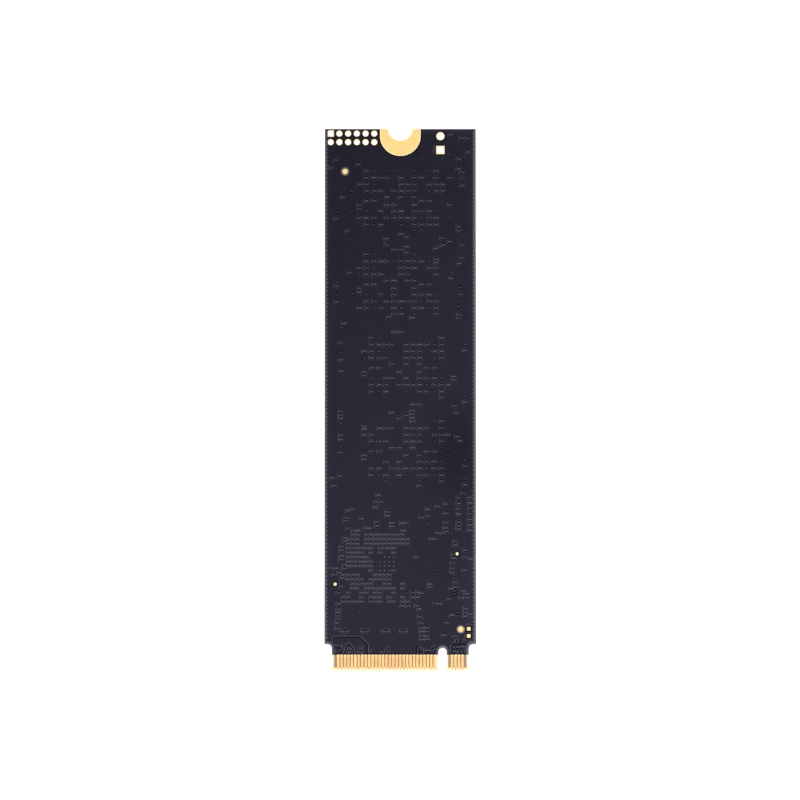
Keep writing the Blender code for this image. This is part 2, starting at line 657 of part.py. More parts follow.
def build_board(parent):
    """The laminate, its copper and masks, and every plated or gold feature."""
    glass = make_material("laminate", (0.32, 0.22, 0.15), 0.55)
    gold = make_material("gold_plating", (0.90, 0.62, 0.28), 0.28, 1.0)
    coating = make_material("solder_mask", (0.020, 0.019, 0.028), 0.42)

    header = header_holes()
    jumper = jumper_holes()
    lands = bare_side_lands()

    wall = PLATING_THICKNESS + LAYER_GAP
    bores = [circle(centre, HEADER_HOLE / 2 + wall) for centre in header]
    bores += [circle(centre, JUMPER_HOLE / 2 + wall) for centre in jumper]
    full, drawn = laminate_outline(0.0), laminate_outline(BEVEL_LENGTH)
    laminate = stacked_mesh(
        "laminate",
        [(drawn, LAMINATE_LOW), (full, LAMINATE_LOW + BEVEL_DEPTH),
         (full, LAMINATE_HIGH - BEVEL_DEPTH), (drawn, LAMINATE_HIGH)],
        bores,
    )
    place("laminate", laminate, glass, parent)

    islands = []
    for name, (outline, opening, centre) in lands.items():
        islands.append(shrunk(opening, centre, -ISLAND_CLEARANCE))
    pair = [lands["chip_land_1"][2], lands["chip_land_2"][2]]
    middle = (pair[0][0], (pair[0][1] + pair[1][1]) / 2)
    span = CHIP_LAND_SIZE + 2 * ISLAND_CLEARANCE
    islands = islands[:-2] + [rectangle(middle, span, span + CHIP_LAND_PITCH)]
    back = copper_outline(2, 0.0, contact_edge)
    place("back_copper", stacked_mesh(
        "back_copper", [(back, BACK_LAND_LOW), (back, BACK_LAND_HIGH)], islands), gold, parent)
    front = copper_outline(1, 0.0, contact_edge)
    place("front_copper", stacked_mesh(
        "front_copper", [(front, FRONT_LAND_HIGH), (front, FRONT_LAND_LOW)]), gold, parent)

    openings = []
    for index, centre in enumerate(header):
        reach = HEADER_PAD / 2 + MASK_CLEARANCE
        openings.append(square_ring(centre, reach) if index == 0 else circle(centre, reach))
    openings.append(circle(jumper[0], JUMPER_PAD / 2 + MASK_CLEARANCE))
    openings.append(square_ring(jumper[1], JUMPER_SQUARE / 2 + MASK_CLEARANCE))
    bare = openings + [opening for outline, opening, centre in lands.values()]
    make_mask("back_solder_mask", True, bare, coating, parent)
    make_mask("front_solder_mask", False, openings, coating, parent)

    place("screw_notch_plating", screw_plating_mesh("screw_notch_plating"), gold, parent)
    first = eyelet_mesh("header_eyelet_first", HEADER_HOLE, HEADER_PAD, True)
    other = eyelet_mesh("header_eyelet", HEADER_HOLE, HEADER_PAD, False)
    for index, centre in enumerate(header):
        mesh = first if index == 0 else other
        place(f"header_eyelet_{index + 1:02d}", mesh, gold, parent, (*centre, 0.0))
    ring = eyelet_mesh("jumper_eyelet_round", JUMPER_HOLE, JUMPER_PAD, False)
    place("jumper_eyelet_round", ring, gold, parent, (*jumper[0], 0.0))
    block = eyelet_mesh("jumper_eyelet_square", JUMPER_HOLE, JUMPER_SQUARE, True)
    place("jumper_eyelet_square", block, gold, parent, (*jumper[1], 0.0))
    for name, (outline, opening, centre) in lands.items():
        top = shrunk(outline, centre, LAND_TAPER)
        place(name, stacked_mesh(name, [(outline, BACK_LAND_LOW), (top, BACK_LAND_HIGH)]), gold, parent)


def build_parts(parent):
    """Everything soldered to the face that points down."""
    epoxy = make_material("package_epoxy", (0.018, 0.018, 0.019), 0.55)
    ferrite = make_material("inductor_body", (0.085, 0.085, 0.09), 0.6)
    ceramic = make_material("capacitor_body", (0.36, 0.25, 0.16), 0.45)
    lid = make_material("crystal_lid", (0.62, 0.60, 0.56), 0.3, 1.0)

    memory = nand_mesh()
    chip = chip_mesh("chip_capacitor", CHIP_LENGTH, CHIP_WIDTH, CHIP_HEIGHT, CHIP_CAP)
    pitch = NAND_LENGTH + NAND_GAP
    bay_top = SCREW_END - NAND_BAY_SETBACK
    count = int((NAND_BAY_LENGTH + NAND_GAP) / pitch)
    strip = (BOARD_WIDTH - NAND_WIDTH) / 2
    for index in range(count):
        y = bay_top - NAND_LENGTH / 2 - index * pitch
        place(f"nand_{index + 1}", memory, epoxy, parent, (0.0, y, FRONT_FACE))
        if strip < CHIP_WIDTH + 2 * CHIP_SPACE:
            continue
        for side, letter in ((-1, "left"), (1, "right")):
            x = side * (BOARD_RIGHT - strip / 2)
            place(f"nand_capacitor_{index + 1}_{letter}", chip, ceramic, parent, (x, y, FRONT_FACE), 90.0)

    bay_end = bay_top - NAND_BAY_LENGTH
    left = BOARD_LEFT + CONTROLLER_EDGE
    centre = (left + CONTROLLER_SIZE / 2, bay_end - CONTROLLER_GAP - CONTROLLER_SIZE / 2)
    place("controller", controller_mesh(), epoxy, parent, (*centre, FRONT_FACE))
    crystal_y = bay_end - CONTROLLER_GAP - CRYSTAL_DOWN - CRYSTAL_LENGTH / 2
    crystal_x = BOARD_LEFT + CONTROLLER_EDGE / 2
    place("crystal", crystal_mesh(), lid, parent, (crystal_x, crystal_y, FRONT_FACE))

    manager_x = BOARD_RIGHT - POWER_EDGE - MANAGER_SIZE / 2
    y = bay_end - MANAGER_GAP - MANAGER_SIZE / 2
    manager = leadless_mesh("power_manager", MANAGER_SIZE, MANAGER_HEIGHT, 4)
    place("power_manager", manager, epoxy, parent, (manager_x, y, FRONT_FACE))
    y -= MANAGER_SIZE / 2 + RAIL_GAP
    coil = inductor_mesh()
    bulk = chip_mesh("rail_capacitor", RAIL_CHIP_LENGTH, RAIL_CHIP_WIDTH, RAIL_CHIP_HEIGHT, RAIL_CHIP_CAP)
    bulk_x = BOARD_RIGHT - POWER_EDGE - RAIL_CHIP_WIDTH / 2
    coil_x = bulk_x - RAIL_CHIP_WIDTH / 2 - RAIL_GAP - INDUCTOR_LENGTH / 2
    row = max(INDUCTOR_WIDTH, RAIL_CHIP_LENGTH)
    for index in range(RAIL_COUNT):
        y -= row / 2
        place(f"inductor_{index + 1}", coil, ferrite, parent, (coil_x, y, FRONT_FACE))
        place(f"rail_capacitor_{index + 1}", bulk, ceramic, parent, (bulk_x, y, FRONT_FACE), 90.0)
        y -= row / 2 + RAIL_GAP
    switch = leadless_mesh("load_switch", SWITCH_SIZE, SWITCH_HEIGHT, 2)
    switch_x = BOARD_RIGHT - POWER_EDGE - SWITCH_SIZE / 2
    place("load_switch", switch, epoxy, parent, (switch_x, y - SWITCH_SIZE / 2, FRONT_FACE))

    lane_y = centre[1] - CONTROLLER_SIZE / 2 - LANE_GAP
    for lane in range(LANE_COUNT):
        for side in (-1, 1):
            x = BOARD_LEFT + LANE_EDGE + lane * LANE_PITCH + side * LANE_CHIP_PITCH / 2
            name = f"lane_capacitor_{2 * lane + (side + 3) // 2}"
            place(name, chip, ceramic, parent, (x, lane_y, FRONT_FACE), 90.0)


def main():
    """Empty the scene, then build the drive under one empty."""
    for old in list(bpy.data.objects):
        bpy.data.objects.remove(old, do_unlink=True)
    drive = bpy.data.objects.new("drive", None)
    bpy.context.scene.collection.objects.link(drive)
    build_board(drive)
    build_parts(drive)


main()
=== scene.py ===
"""Looks of the solid state drive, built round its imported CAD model, in millimetres unless said."""

import math

import bmesh
import bpy
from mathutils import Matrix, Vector


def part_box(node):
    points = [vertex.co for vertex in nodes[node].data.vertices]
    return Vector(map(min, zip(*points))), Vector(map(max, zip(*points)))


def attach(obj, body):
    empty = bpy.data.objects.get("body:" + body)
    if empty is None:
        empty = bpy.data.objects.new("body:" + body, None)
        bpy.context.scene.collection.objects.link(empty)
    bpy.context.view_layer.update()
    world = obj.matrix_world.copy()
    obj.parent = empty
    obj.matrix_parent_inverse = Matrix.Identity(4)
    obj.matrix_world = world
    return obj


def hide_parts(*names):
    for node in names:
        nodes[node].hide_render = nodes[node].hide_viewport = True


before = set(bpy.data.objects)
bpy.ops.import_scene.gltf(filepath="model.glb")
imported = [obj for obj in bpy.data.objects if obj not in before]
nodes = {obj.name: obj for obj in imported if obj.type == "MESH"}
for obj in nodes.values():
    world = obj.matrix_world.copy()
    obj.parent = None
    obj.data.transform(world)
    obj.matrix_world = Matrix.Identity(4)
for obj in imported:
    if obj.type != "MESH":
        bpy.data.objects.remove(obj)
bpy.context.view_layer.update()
scene = bpy.context.scene

MM = 0.001


def corners(name):
    """Lowest and highest corner of a CAD node."""
    low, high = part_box(name)
    return low / MM, high / MM


# The camera of the photograph
ELEVATION = 79.7
LENS = 900.0
SENSOR = 36.0
IMAGE_WIDTH = 800.0
PIXELS_PER_MM = 6.885
ROWS_PER_MM = PIXELS_PER_MM * math.sin(math.radians(ELEVATION))
AIM = (-0.04, -0.125)

# The board as the frame has it
CONTACT_END = corners("laminate")[0].y
BOARD_HALF, SCREW_END, LAMINATE_TOP = corners("laminate")[1]
MASK_LOW, MASK_HIGH = corners("back_solder_mask")
MASK_END = MASK_LOW.y
LAND_LOW, LAND_HIGH = corners("screw_notch_plating")
LAND_RADIUS = LAND_HIGH.x
LAND_Y = LAND_LOW.y + LAND_RADIUS
LAND_TOP = LAND_HIGH.z

# The board's standard sizes
SHOULDER = -36.0
SHOULDER_RADIUS = 0.6
TONGUE_HALF = 9.925
KEY = (6.125, -37.1)
KEY_RADIUS = 0.6
CONTACT_PITCH = 0.5
CONTACT_HALF = 0.175

# The ink's face is drawn down, so that tented vias rise to the CAD face
VIA_ROOM = 0.02
MASK_TOP = MASK_HIGH.z - VIA_ROOM

# Raised forms start just under the ink's face, flat shades lie just over it, rings by the gold go deeper
LOW = MASK_TOP - 0.001
FLAT = MASK_TOP + 0.0012
DEEP = LAND_TOP - 0.01


def from_photo(column, row):
    """Board millimetres of a point read off the photograph."""
    middle = IMAGE_WIDTH / 2
    return (column - middle) / PIXELS_PER_MM + AIM[0], (middle - row) / ROWS_PER_MM + AIM[1]


# Materials


class Shader:
    """A Principled material and short names for the nodes that feed it."""

    def __init__(self, name):
        self.material = bpy.data.materials.new(name)
        self.material.use_nodes = True
        self.tree = self.material.node_tree
        self.bsdf = self.tree.nodes["Principled BSDF"]
        self.point = self.tree.nodes.new("ShaderNodeTexCoord").outputs["Object"]

    def put(self, socket, value):
        if isinstance(value, bpy.types.NodeSocket):
            self.tree.links.new(value, socket)
        elif isinstance(value, tuple) and len(value) == 3 and socket.type == "RGBA":
            socket.default_value = (*value, 1.0)
        else:
            socket.default_value = value

    def set(self, **values):
        for name, value in values.items():
            self.put(self.bsdf.inputs[name.replace("_", " ")], value)
        return self

    def node(self, kind, output, inputs, **settings):
        made = self.tree.nodes.new(kind)
        for name, value in settings.items():
            setattr(made, name, value)
        for key, value in inputs.items():
            self.put(made.inputs[key], value)
        return made.outputs[output]

    def stretched(self, x, y, z):
        return self.node("ShaderNodeMapping", "Vector", {"Vector": self.point, "Scale": (x, y, z)})

    def noise(self, per_mm, detail, where=None):
        inputs = {"Vector": where or self.point, "Scale": per_mm / MM, "Detail": detail}
        return self.node("ShaderNodeTexNoise", "Fac", inputs)

    def axis(self, name):
        return self.node("ShaderNodeSeparateXYZ", name, {"Vector": self.point})

    def level(self):
        """1 on a level face, 0 on an upright one."""
        normal = self.tree.nodes.new("ShaderNodeNewGeometry").outputs["Normal"]
        return self.math("ABSOLUTE", self.node("ShaderNodeSeparateXYZ", "Z", {"Vector": normal}))

    def math(self, operation, a, b=0.0):
        return self.node("ShaderNodeMath", "Value", {0: a, 1: b}, operation=operation)

    def total(self, first, *others):
        for other in others:
            first = self.math("ADD", first, other)
        return first

    def away(self, axis, centre):
        """How far a point is from a place along an axis."""
        return self.math("ABSOLUTE", self.math("SUBTRACT", self.axis(axis), centre * MM))

    def beyond(self, axis, place):
        return self.math("GREATER_THAN", self.axis(axis), place * MM)

    def span(self, value, low, high, to_low=0.0, to_high=1.0):
        inputs = {"Value": value, "From Min": low, "From Max": high, "To Min": to_low, "To Max": to_high}
        return self.node("ShaderNodeMapRange", "Result", inputs)

    def fade(self, axis, start, end, to_start=0.0, to_end=1.0):
        """A value that changes from one place along an axis to another."""
        return self.span(self.axis(axis), start * MM, end * MM, to_start, to_end)

    def ramp(self, fac, *stops):
        made = self.tree.nodes.new("ShaderNodeValToRGB")
        elements = made.color_ramp.elements
        while len(elements) < len(stops):
            elements.new(0.5)
        for element, (position, colour) in zip(elements, stops):
            element.position = position
            element.color = (*colour, 1.0)
        self.put(made.inputs["Fac"], fac)
        return made.outputs["Color"]

    def mix(self, fac, a, b):
        made = self.tree.nodes.new("ShaderNodeMix")
        made.data_type = "RGBA"
        for socket, value in zip((made.inputs[0], made.inputs[6], made.inputs[7]), (fac, a, b)):
            self.put(socket, value)
        return made.outputs[2]

    def bump(self, height, strength, distance):
        inputs = {"Height": height, "Strength": strength, "Distance": distance * MM}
        self.put(self.bsdf.inputs["Normal"], self.node("ShaderNodeBump", "Normal", inputs))
        return self


def shaded(colour, factor):
    return tuple(v * factor for v in colour)


# Middle of the patch of painted shade, and where the painted paling towards the long edges starts
DARK_PATCH = (8.3, -7.0)
EDGE_STRIP = 9.4


def ink(name, dark_tone, light_tone, rough, gloss):
    """Solder mask: satin ink with a mottle, a fine orange peel, and painted light and shade over its face.
    """
    s = Shader(name)
    mottle = s.noise(per_mm=0.35, detail=4.0)
    peel = s.noise(per_mm=7.0, detail=2.0)
    # Painted light and shade: lighter towards the contacts, the right, the long edges and the screw end;
    # darker to the lower right and in a patch there, lighter again along the right edge further down
    down = s.fade("Y", SCREW_END, SHOULDER, -0.09, 0.68)
    across = s.fade("X", -BOARD_HALF, BOARD_HALF, -0.1, 0.12)
    edge = s.span(s.away("X", 0.0), EDGE_STRIP * MM, BOARD_HALF * MM, 0.0, 0.2)
    top = s.fade("Y", SCREW_END - 0.8, SCREW_END - 0.1, 0.0, 0.8)
    lower_right = s.math("MULTIPLY", s.fade("X", -1.0, 7.0), s.fade("Y", 2.0, -9.0, 0.0, -0.22))
    patch_x = s.span(s.away("X", DARK_PATCH[0]), 0.5 * MM, 6.0 * MM, 1.0, 0.0)
    patch_y = s.span(s.away("Y", DARK_PATCH[1]), 1.0 * MM, 9.0 * MM, -0.45, 0.0)
    patch = s.math("MULTIPLY", patch_x, patch_y)
    corner = s.math("MULTIPLY", s.fade("X", 7.0, BOARD_HALF, 0.0, 0.5), s.fade("Y", -18.0, -28.0))
    cloud = s.span(mottle, 0.3, 0.7, 0.0, 0.18)
    # The ink's tone: the painted light and shade above, plus a random mottle
    painted_shade_and_mottle = s.total(down, across, edge, top, lower_right, patch, corner, cloud)
    s.set(
        Base_Color=s.mix(painted_shade_and_mottle, dark_tone, light_tone),
        Roughness=s.span(peel, 0.3, 0.7, rough - 0.02, rough + 0.03),
        Specular_IOR_Level=gloss,
        Specular_Tint=(0.9, 0.87, 1.0),
    )
    return s.bump(peel, strength=0.05, distance=0.006).material


def band_ink(name, dark, light):
    """Ink with no copper under it, as along the cut edges; made pale, it is painted sheen on the ink's
    rounded edge.
    """
    s = Shader(name)
    mottle = s.noise(per_mm=1.5, detail=3.0)
    s.set(
        Base_Color=s.ramp(mottle, (0.3, dark), (0.7, light)),
        Roughness=s.span(mottle, 0.3, 0.7, 0.4, 0.5),
        Specular_IOR_Level=0.25,
    )
    return s.bump(mottle, strength=0.1, distance=0.006).material


def gold(name, deep, pale, rough, wall_shade=None):
    """Gold over nickel: cloudy tone, satin grain, hairline rubbing; the last colour, if given, is a duller
    gold on its upright faces: painted shade.
    """
    s = Shader(name)
    cloud = s.noise(per_mm=1.6, detail=3.0)
    grain = s.noise(per_mm=14.0, detail=2.0)
    rub = s.noise(per_mm=9.0, detail=2.0, where=s.stretched(1.0, 0.08, 1.0))
    colour = s.ramp(cloud, (0.3, deep), (0.7, pale))
    # Upright faces, such as the wall of a hole, take the darker colour: painted shade
    if wall_shade:
        colour = s.mix(s.span(s.level(), 0.3, 0.7), wall_shade, colour)
    s.set(
        Base_Color=colour,
        Metallic=1.0,
        Roughness=s.span(grain, 0.3, 0.7, rough - 0.05, rough + 0.07),
    )
    return s.bump(rub, strength=0.06, distance=0.006).material


def contact_gold():
    """The edge contacts: each its own tint, rubbed along its length, paler at both ends with painted
    highlight.
    """
    s = Shader("contact_gold")
    number = s.math("ROUND", s.math("DIVIDE", s.axis("X"), CONTACT_PITCH * MM))
    tint = s.node("ShaderNodeTexWhiteNoise", "Value", {"W": number}, noise_dimensions="1D")
    tone = s.ramp(tint, (0.0, (1.0, 0.57, 0.28)), (0.5, (1.0, 0.63, 0.27)), (1.0, (1.0, 0.69, 0.31)))
    # Paler by the ink's end and by the tip: painted highlight
    root = s.fade("Y", MASK_END - 0.37, MASK_END)
    tip = s.fade("Y", CONTACT_END + 0.55, CONTACT_END + 0.2)
    pale = s.math("MULTIPLY", s.math("MAXIMUM", root, tip), 0.6)
    rub = s.noise(per_mm=11.0, detail=2.0, where=s.stretched(1.0, 0.06, 1.0))
    s.set(
        Base_Color=s.mix(pale, tone, (1.0, 0.9, 0.62)),
        Metallic=1.0,
        Roughness=s.span(rub, 0.3, 0.7, 0.22, 0.36),
    )
    return s.bump(rub, strength=0.08, distance=0.006).material


PLY = 0.118


def laminate_edge():
    """Glass-epoxy board: brown on the flat of the tongue, pale and layered where it is cut."""
    s = Shader("glass_epoxy")
    weave = s.noise(per_mm=4.0, detail=3.0, where=s.stretched(1.0, 0.25, 1.0))
    flat = s.ramp(weave, (0.3, (0.3, 0.17, 0.07)), (0.7, (0.42, 0.26, 0.12)))
    layer = s.math("SINE", s.math("MULTIPLY", s.axis("Z"), 2.0 * math.pi / (PLY * MM)))
    fibre = s.noise(per_mm=9.0, detail=3.0, where=s.stretched(0.25, 0.25, 3.0))
    ply = s.math("ADD", s.math("MULTIPLY", layer, 0.22), fibre)
    cut = s.ramp(ply, (0.25, (0.22, 0.165, 0.1)), (0.5, (0.34, 0.27, 0.175)), (0.8, (0.48, 0.4, 0.28)))
    # The bevel's board pales towards the end
    towards_end = s.fade("Y", CONTACT_END + 0.4, CONTACT_END + 0.1)
    bevel = s.mix(towards_end, (0.92, 0.79, 0.4), (0.98, 0.94, 0.7))
    side = s.span(s.away("X", 0.0), (TONGUE_HALF - 0.405) * MM, (TONGUE_HALF - 0.245) * MM)
    key = s.span(s.away("X", KEY[0] - 0.12), (KEY_RADIUS + 0.4) * MM, (KEY_RADIUS + 0.28) * MM)
    routed = s.math("MAXIMUM", side, key)
    flat = s.mix(routed, flat, (0.86, 0.8, 0.66))
    flat = s.mix(s.beyond("Y", SHOULDER + 0.5), flat, (0.29, 0.24, 0.18))
    level = s.level()
    sloped = s.mix(s.span(level, 0.96, 0.99), bevel, flat)
    s.set(
        Base_Color=s.mix(s.span(level, 0.6, 0.8), cut, sloped),
        Roughness=s.span(fibre, 0.3, 0.7, 0.55, 0.8),
    )
    return s.bump(ply, strength=0.25, distance=0.02).material


EPOXY = (0.016, 0.016, 0.017)


def package(name, compound, substrate):
    """A moulded package: black compound up to one height, substrate up to the next, tinned joints above."""
    s = Shader(name)
    grain = s.noise(per_mm=22.0, detail=3.0)
    black = s.ramp(grain, (0.3, shaded(EPOXY, 0.8)), (0.7, shaded(EPOXY, 1.35)))
    core = s.ramp(s.noise(per_mm=6.0, detail=2.0), (0.3, (0.018, 0.032, 0.02)), (0.7, (0.03, 0.05, 0.03)))
    lower = s.mix(s.beyond("Z", compound), black, core)
    joint = s.beyond("Z", substrate)
    matt = s.ramp(grain, (0.3, (0.5, 0.5, 0.5)), (0.7, (0.66, 0.66, 0.66)))
    s.set(
        Base_Color=s.mix(joint, lower, (0.62, 0.61, 0.6)),
        Metallic=joint,
        Roughness=s.mix(joint, matt, (0.3, 0.3, 0.3)),
    )
    return s.bump(grain, strength=0.2, distance=0.012).material


def chip(name, axis, centre, inner, body, low=None):
    """A two-ended chip part: its ends are tinned beyond inner, and above low where that is given."""
    s = Shader(name)
    end = s.math("GREATER_THAN", s.away(axis, centre), inner * MM)
    if low:
        end = s.math("MULTIPLY", end, s.beyond("Z", low))
    grain = s.noise(per_mm=16.0, detail=3.0)
    clay = s.ramp(grain, (0.3, shaded(body, 0.82)), (0.7, shaded(body, 1.15)))
    tin = s.ramp(grain, (0.3, (0.55, 0.54, 0.53)), (0.7, (0.72, 0.71, 0.69)))
    s.set(
        Base_Color=s.mix(end, clay, tin),
        Metallic=end,
        Roughness=s.span(grain, 0.3, 0.7, 0.32, 0.48),
    )
    return s.bump(grain, strength=0.15, distance=0.01).material


def lidded(name, lid):
    """A crystal: plated lid over a ceramic tray."""
    s = Shader(name)
    tray = s.beyond("Z", lid)
    grain = s.noise(per_mm=12.0, detail=3.0, where=s.stretched(1.0, 0.1, 1.0))
    metal = s.ramp(grain, (0.3, (0.5, 0.48, 0.44)), (0.7, (0.7, 0.68, 0.62)))
    s.set(
        Base_Color=s.mix(tray, metal, (0.035, 0.034, 0.036)),
        Metallic=s.math("SUBTRACT", 1.0, tray),
        Roughness=s.span(grain, 0.3, 0.7, 0.25, 0.4),
    )
    return s.bump(grain, strength=0.08, distance=0.006).material


MASK = ink("mask_ink", (0.006, 0.0055, 0.0126), (0.0184, 0.0166, 0.0296), rough=0.25, gloss=0.17)

# Inks of the forms on the bare face, and their places in the list; the plug, line and low inks are lighter,
# painted highlight, and the deep and shade inks near black, painted shade
RING, DEEP_SHADE, DOT, LINE, FAINT, SHADE = range(6)
INKS = [
    ink("mask_ink_raised", (0.006, 0.0054, 0.013), (0.023, 0.0205, 0.037), rough=0.22, gloss=0.52),
    ink("mask_ink_deep_shade", (0.0008, 0.0007, 0.0055), (0.002, 0.0018, 0.0095), rough=0.36, gloss=0.08),
    ink("mask_ink_plug_highlight", (0.0465, 0.0455, 0.062), (0.076, 0.0745, 0.098), rough=0.24, gloss=0.35),
    ink("mask_ink_line_highlight", (0.052, 0.05, 0.065), (0.068, 0.066, 0.083), rough=0.26, gloss=0.3),
    ink("mask_ink_low_highlight", (0.038, 0.036, 0.049), (0.05, 0.048, 0.063), rough=0.24, gloss=0.35),
    ink("mask_ink_shade", (0.0008, 0.0007, 0.0052), (0.0026, 0.0023, 0.0098), rough=0.3, gloss=0.09),
]

# Inks of the bands along the cut edges: the pale one painted sheen, the other the ink where the copper
# stops short
PALE, MARGIN = range(2)
EDGE_INKS = [
    band_ink("mask_ink_edge_sheen", (0.085, 0.085, 0.105), (0.108, 0.108, 0.13)),
    band_ink("mask_ink_margin", (0.036, 0.035, 0.047), (0.05, 0.049, 0.064)),
]

# Inks of the rings round the gold: painted shade where the ink stops short of it, and bared board round a
# fiducial
GAP_SHADE, BARED = range(2)
RING_INKS = [
    ink("mask_ink_gap_shade", (0.009, 0.0053, 0.0012), (0.014, 0.0086, 0.002), rough=0.4, gloss=0.035),
    band_ink("mask_ink_bared", (0.062, 0.05, 0.046), (0.08, 0.066, 0.06)),
]

LAND = gold("land_gold", (1.0, 0.67, 0.25), (1.0, 0.72, 0.3), rough=0.3, wall_shade=(0.5, 0.33, 0.14))
RIM = gold("rim_gold_highlight", (0.96, 0.8, 0.49), (0.96, 0.85, 0.57), rough=0.3)
PAD = gold("pad_gold", (1.0, 0.8, 0.42), (1.0, 0.86, 0.52), rough=0.28)
FIDUCIAL = gold("fiducial_gold", (1.0, 0.75, 0.36), (1.0, 0.81, 0.44), rough=0.28)
BARREL = gold("barrel_gold", (1.0, 0.82, 0.56), (1.0, 0.9, 0.68), rough=0.28)
CONTACT = contact_gold()
BOARD = laminate_edge()


def paint(name, material):
    nodes[name].material_slots[0].material = material


# Mesh helpers

SMOOTH_ANGLE = 50.0


def add_piece(name, bm, materials):
    """A finished bmesh, in metres, as a piece that rides on the drive."""
    bmesh.ops.recalc_face_normals(bm, faces=bm.faces[:])
    mesh = bpy.data.meshes.new(name)
    bm.to_mesh(mesh)
    bm.free()
    mesh.shade_smooth()
    mesh.set_sharp_from_angle(angle=math.radians(SMOOTH_ANGLE))
    for material in materials:
        mesh.materials.append(material)
    piece = bpy.data.objects.new(name, mesh)
    scene.collection.objects.link(piece)
    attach(piece, "root")


def add_corner(bm, x, y, z):
    return bm.verts.new((x * MM, y * MM, z * MM))


def turned(bm, centre, profile, steps, material, stretch=1.0):
    """A profile of (radius, height) turned about an upright axis, closed unless it starts on the axis."""
    rings = []
    for radius, z in profile:
        if radius == 0.0:
            rings.append([add_corner(bm, *centre, z)])
            continue
        ring = []
        for i in range(steps):
            angle = 2.0 * math.pi * i / steps
            x = centre[0] + radius * stretch * math.cos(angle)
            y = centre[1] + radius * math.sin(angle)
            ring.append(add_corner(bm, x, y, z))
        rings.append(ring)
    pairs = list(zip(rings, rings[1:]))
    if profile[0][0] > 0.0:
        pairs.append((rings[-1], rings[0]))
    for a, b in pairs:
        for i in range(steps):
            j = (i + 1) % steps
            loop = [a[i % len(a)], a[j % len(a)], b[j % len(b)], b[i % len(b)]]
            bm.faces.new(list(dict.fromkeys(loop))).material_index = material


def loft(bm, sections, material):
    """Faces between neighbouring sections, each a loop of points, and over both ends."""
    loops = [[add_corner(bm, *point) for point in section] for section in sections]
    for a, b in zip(loops, loops[1:]):
        for i in range(len(a)):
            j = (i + 1) % len(a)
            bm.faces.new((a[i], a[j], b[j], b[i])).material_index = material
    for loop in (loops[0], loops[-1]):
        bm.faces.new(loop).material_index = material


def ridge(bm, path, width, height, material=RING, base=LOW):
    """A low three-sided bead along a line of points."""
    sections = []
    for i, (x, y) in enumerate(path):
        before = Vector(path[max(i - 1, 0)])
        after = Vector(path[min(i + 1, len(path) - 1)])
        along = (after - before).normalized()
        side = Vector((-along.y, along.x)) * width / 2
        left = (x - side.x, y - side.y, base)
        right = (x + side.x, y + side.y, base)
        sections.append((left, (x, y, base + height), right))
    loft(bm, sections, material)


def beside(path, distance):
    """The same line moved to its left, mitred at the corners."""
    moved = []
    for i, point in enumerate(path):
        here = Vector(point)
        before = (here - Vector(path[i - 1])).normalized() if i else None
        after = (Vector(path[i + 1]) - here).normalized() if i + 1 < len(path) else before
        before = before or after
        along = (before + after).normalized()
        reach = distance / max(along.dot(before), 0.4)
        moved.append((here.x - along.y * reach, here.y + along.x * reach))
    return moved


def strip(bm, path, width, material, low=LOW, high=FLAT):
    """A flat tape along a line of points."""
    sections = []
    for left, right in zip(beside(path, width / 2), beside(path, -width / 2)):
        sections.append(((*left, low), (*left, high), (*right, high), (*right, low)))
    loft(bm, sections, material)


def arc(centre, radius, start, end, steps):
    points = []
    for i in range(steps + 1):
        angle = math.radians(start + (end - start) * i / steps)
        points.append((centre[0] + radius * math.cos(angle), centre[1] + radius * math.sin(angle)))
    return points


def land_path(radius, gap):
    """Round the screw land, and up to a small gap from the screw end on both sides."""
    end = SCREW_END - gap
    return [(radius, end)] + arc((0.0, LAND_Y), radius, 0.0, -180.0, steps=40) + [(-radius, end)]


# Solder mask

mask_mesh = nodes["back_solder_mask"].data.copy()
for vert in mask_mesh.vertices:
    if vert.co.z > (MASK_TOP + VIA_ROOM / 2) * MM:
        vert.co.z = MASK_TOP * MM
mask = bpy.data.objects.new("bare_face_mask", mask_mesh)
scene.collection.objects.link(mask)
mask.material_slots[0].material = MASK
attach(mask, "root")
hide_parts("back_solder_mask")

# Bands along the cut edges, where the copper stops short: a pale outer strip, painted sheen on the ink's
# rounded edge, and a darker inner one
BAND_INSET = 0.01
BAND_LOW = MASK_TOP - 0.02
PALE_HIGH = MASK_TOP + 0.003
MARGIN_HIGH = MASK_TOP + 0.002
SCREW_GAP = 0.03
MASK_GAP = 0.02
CORNER_GAP = 0.2
LAND_GAP = 0.08


def add_band(name, path, pale, width):
    """A band as wide as width to the left of a path, of which pale is the outer part."""
    bm = bmesh.new()
    outer = beside(path, BAND_INSET + pale / 2)
    inner = beside(path, BAND_INSET + (pale + width) / 2)
    strip(bm, outer, pale, PALE, BAND_LOW, PALE_HIGH)
    strip(bm, inner, width - pale, MARGIN, BAND_LOW, MARGIN_HIGH)
    add_piece(name, bm, EDGE_INKS)


def shoulder_path(side):
    """From the screw end down one long edge and round the shoulder to the end of the ink."""
    centre = (TONGUE_HALF + SHOULDER_RADIUS, SHOULDER - SHOULDER_RADIUS)
    path = [(BOARD_HALF, SCREW_END - SCREW_GAP), (BOARD_HALF, SHOULDER)]
    path += arc(centre, SHOULDER_RADIUS, 90.0, 180.0, steps=6)
    path.append((TONGUE_HALF, MASK_END + MASK_GAP))
    return [(side * x, y) for x, y in path]


def key_path():
    """Up one flank of the key notch, round its end and down the other flank."""
    start = (KEY[0] - KEY_RADIUS, MASK_END + MASK_GAP)
    end = (KEY[0] + KEY_RADIUS, MASK_END + MASK_GAP)
    return [start] + arc(KEY, KEY_RADIUS, 180.0, 0.0, steps=12) + [end]


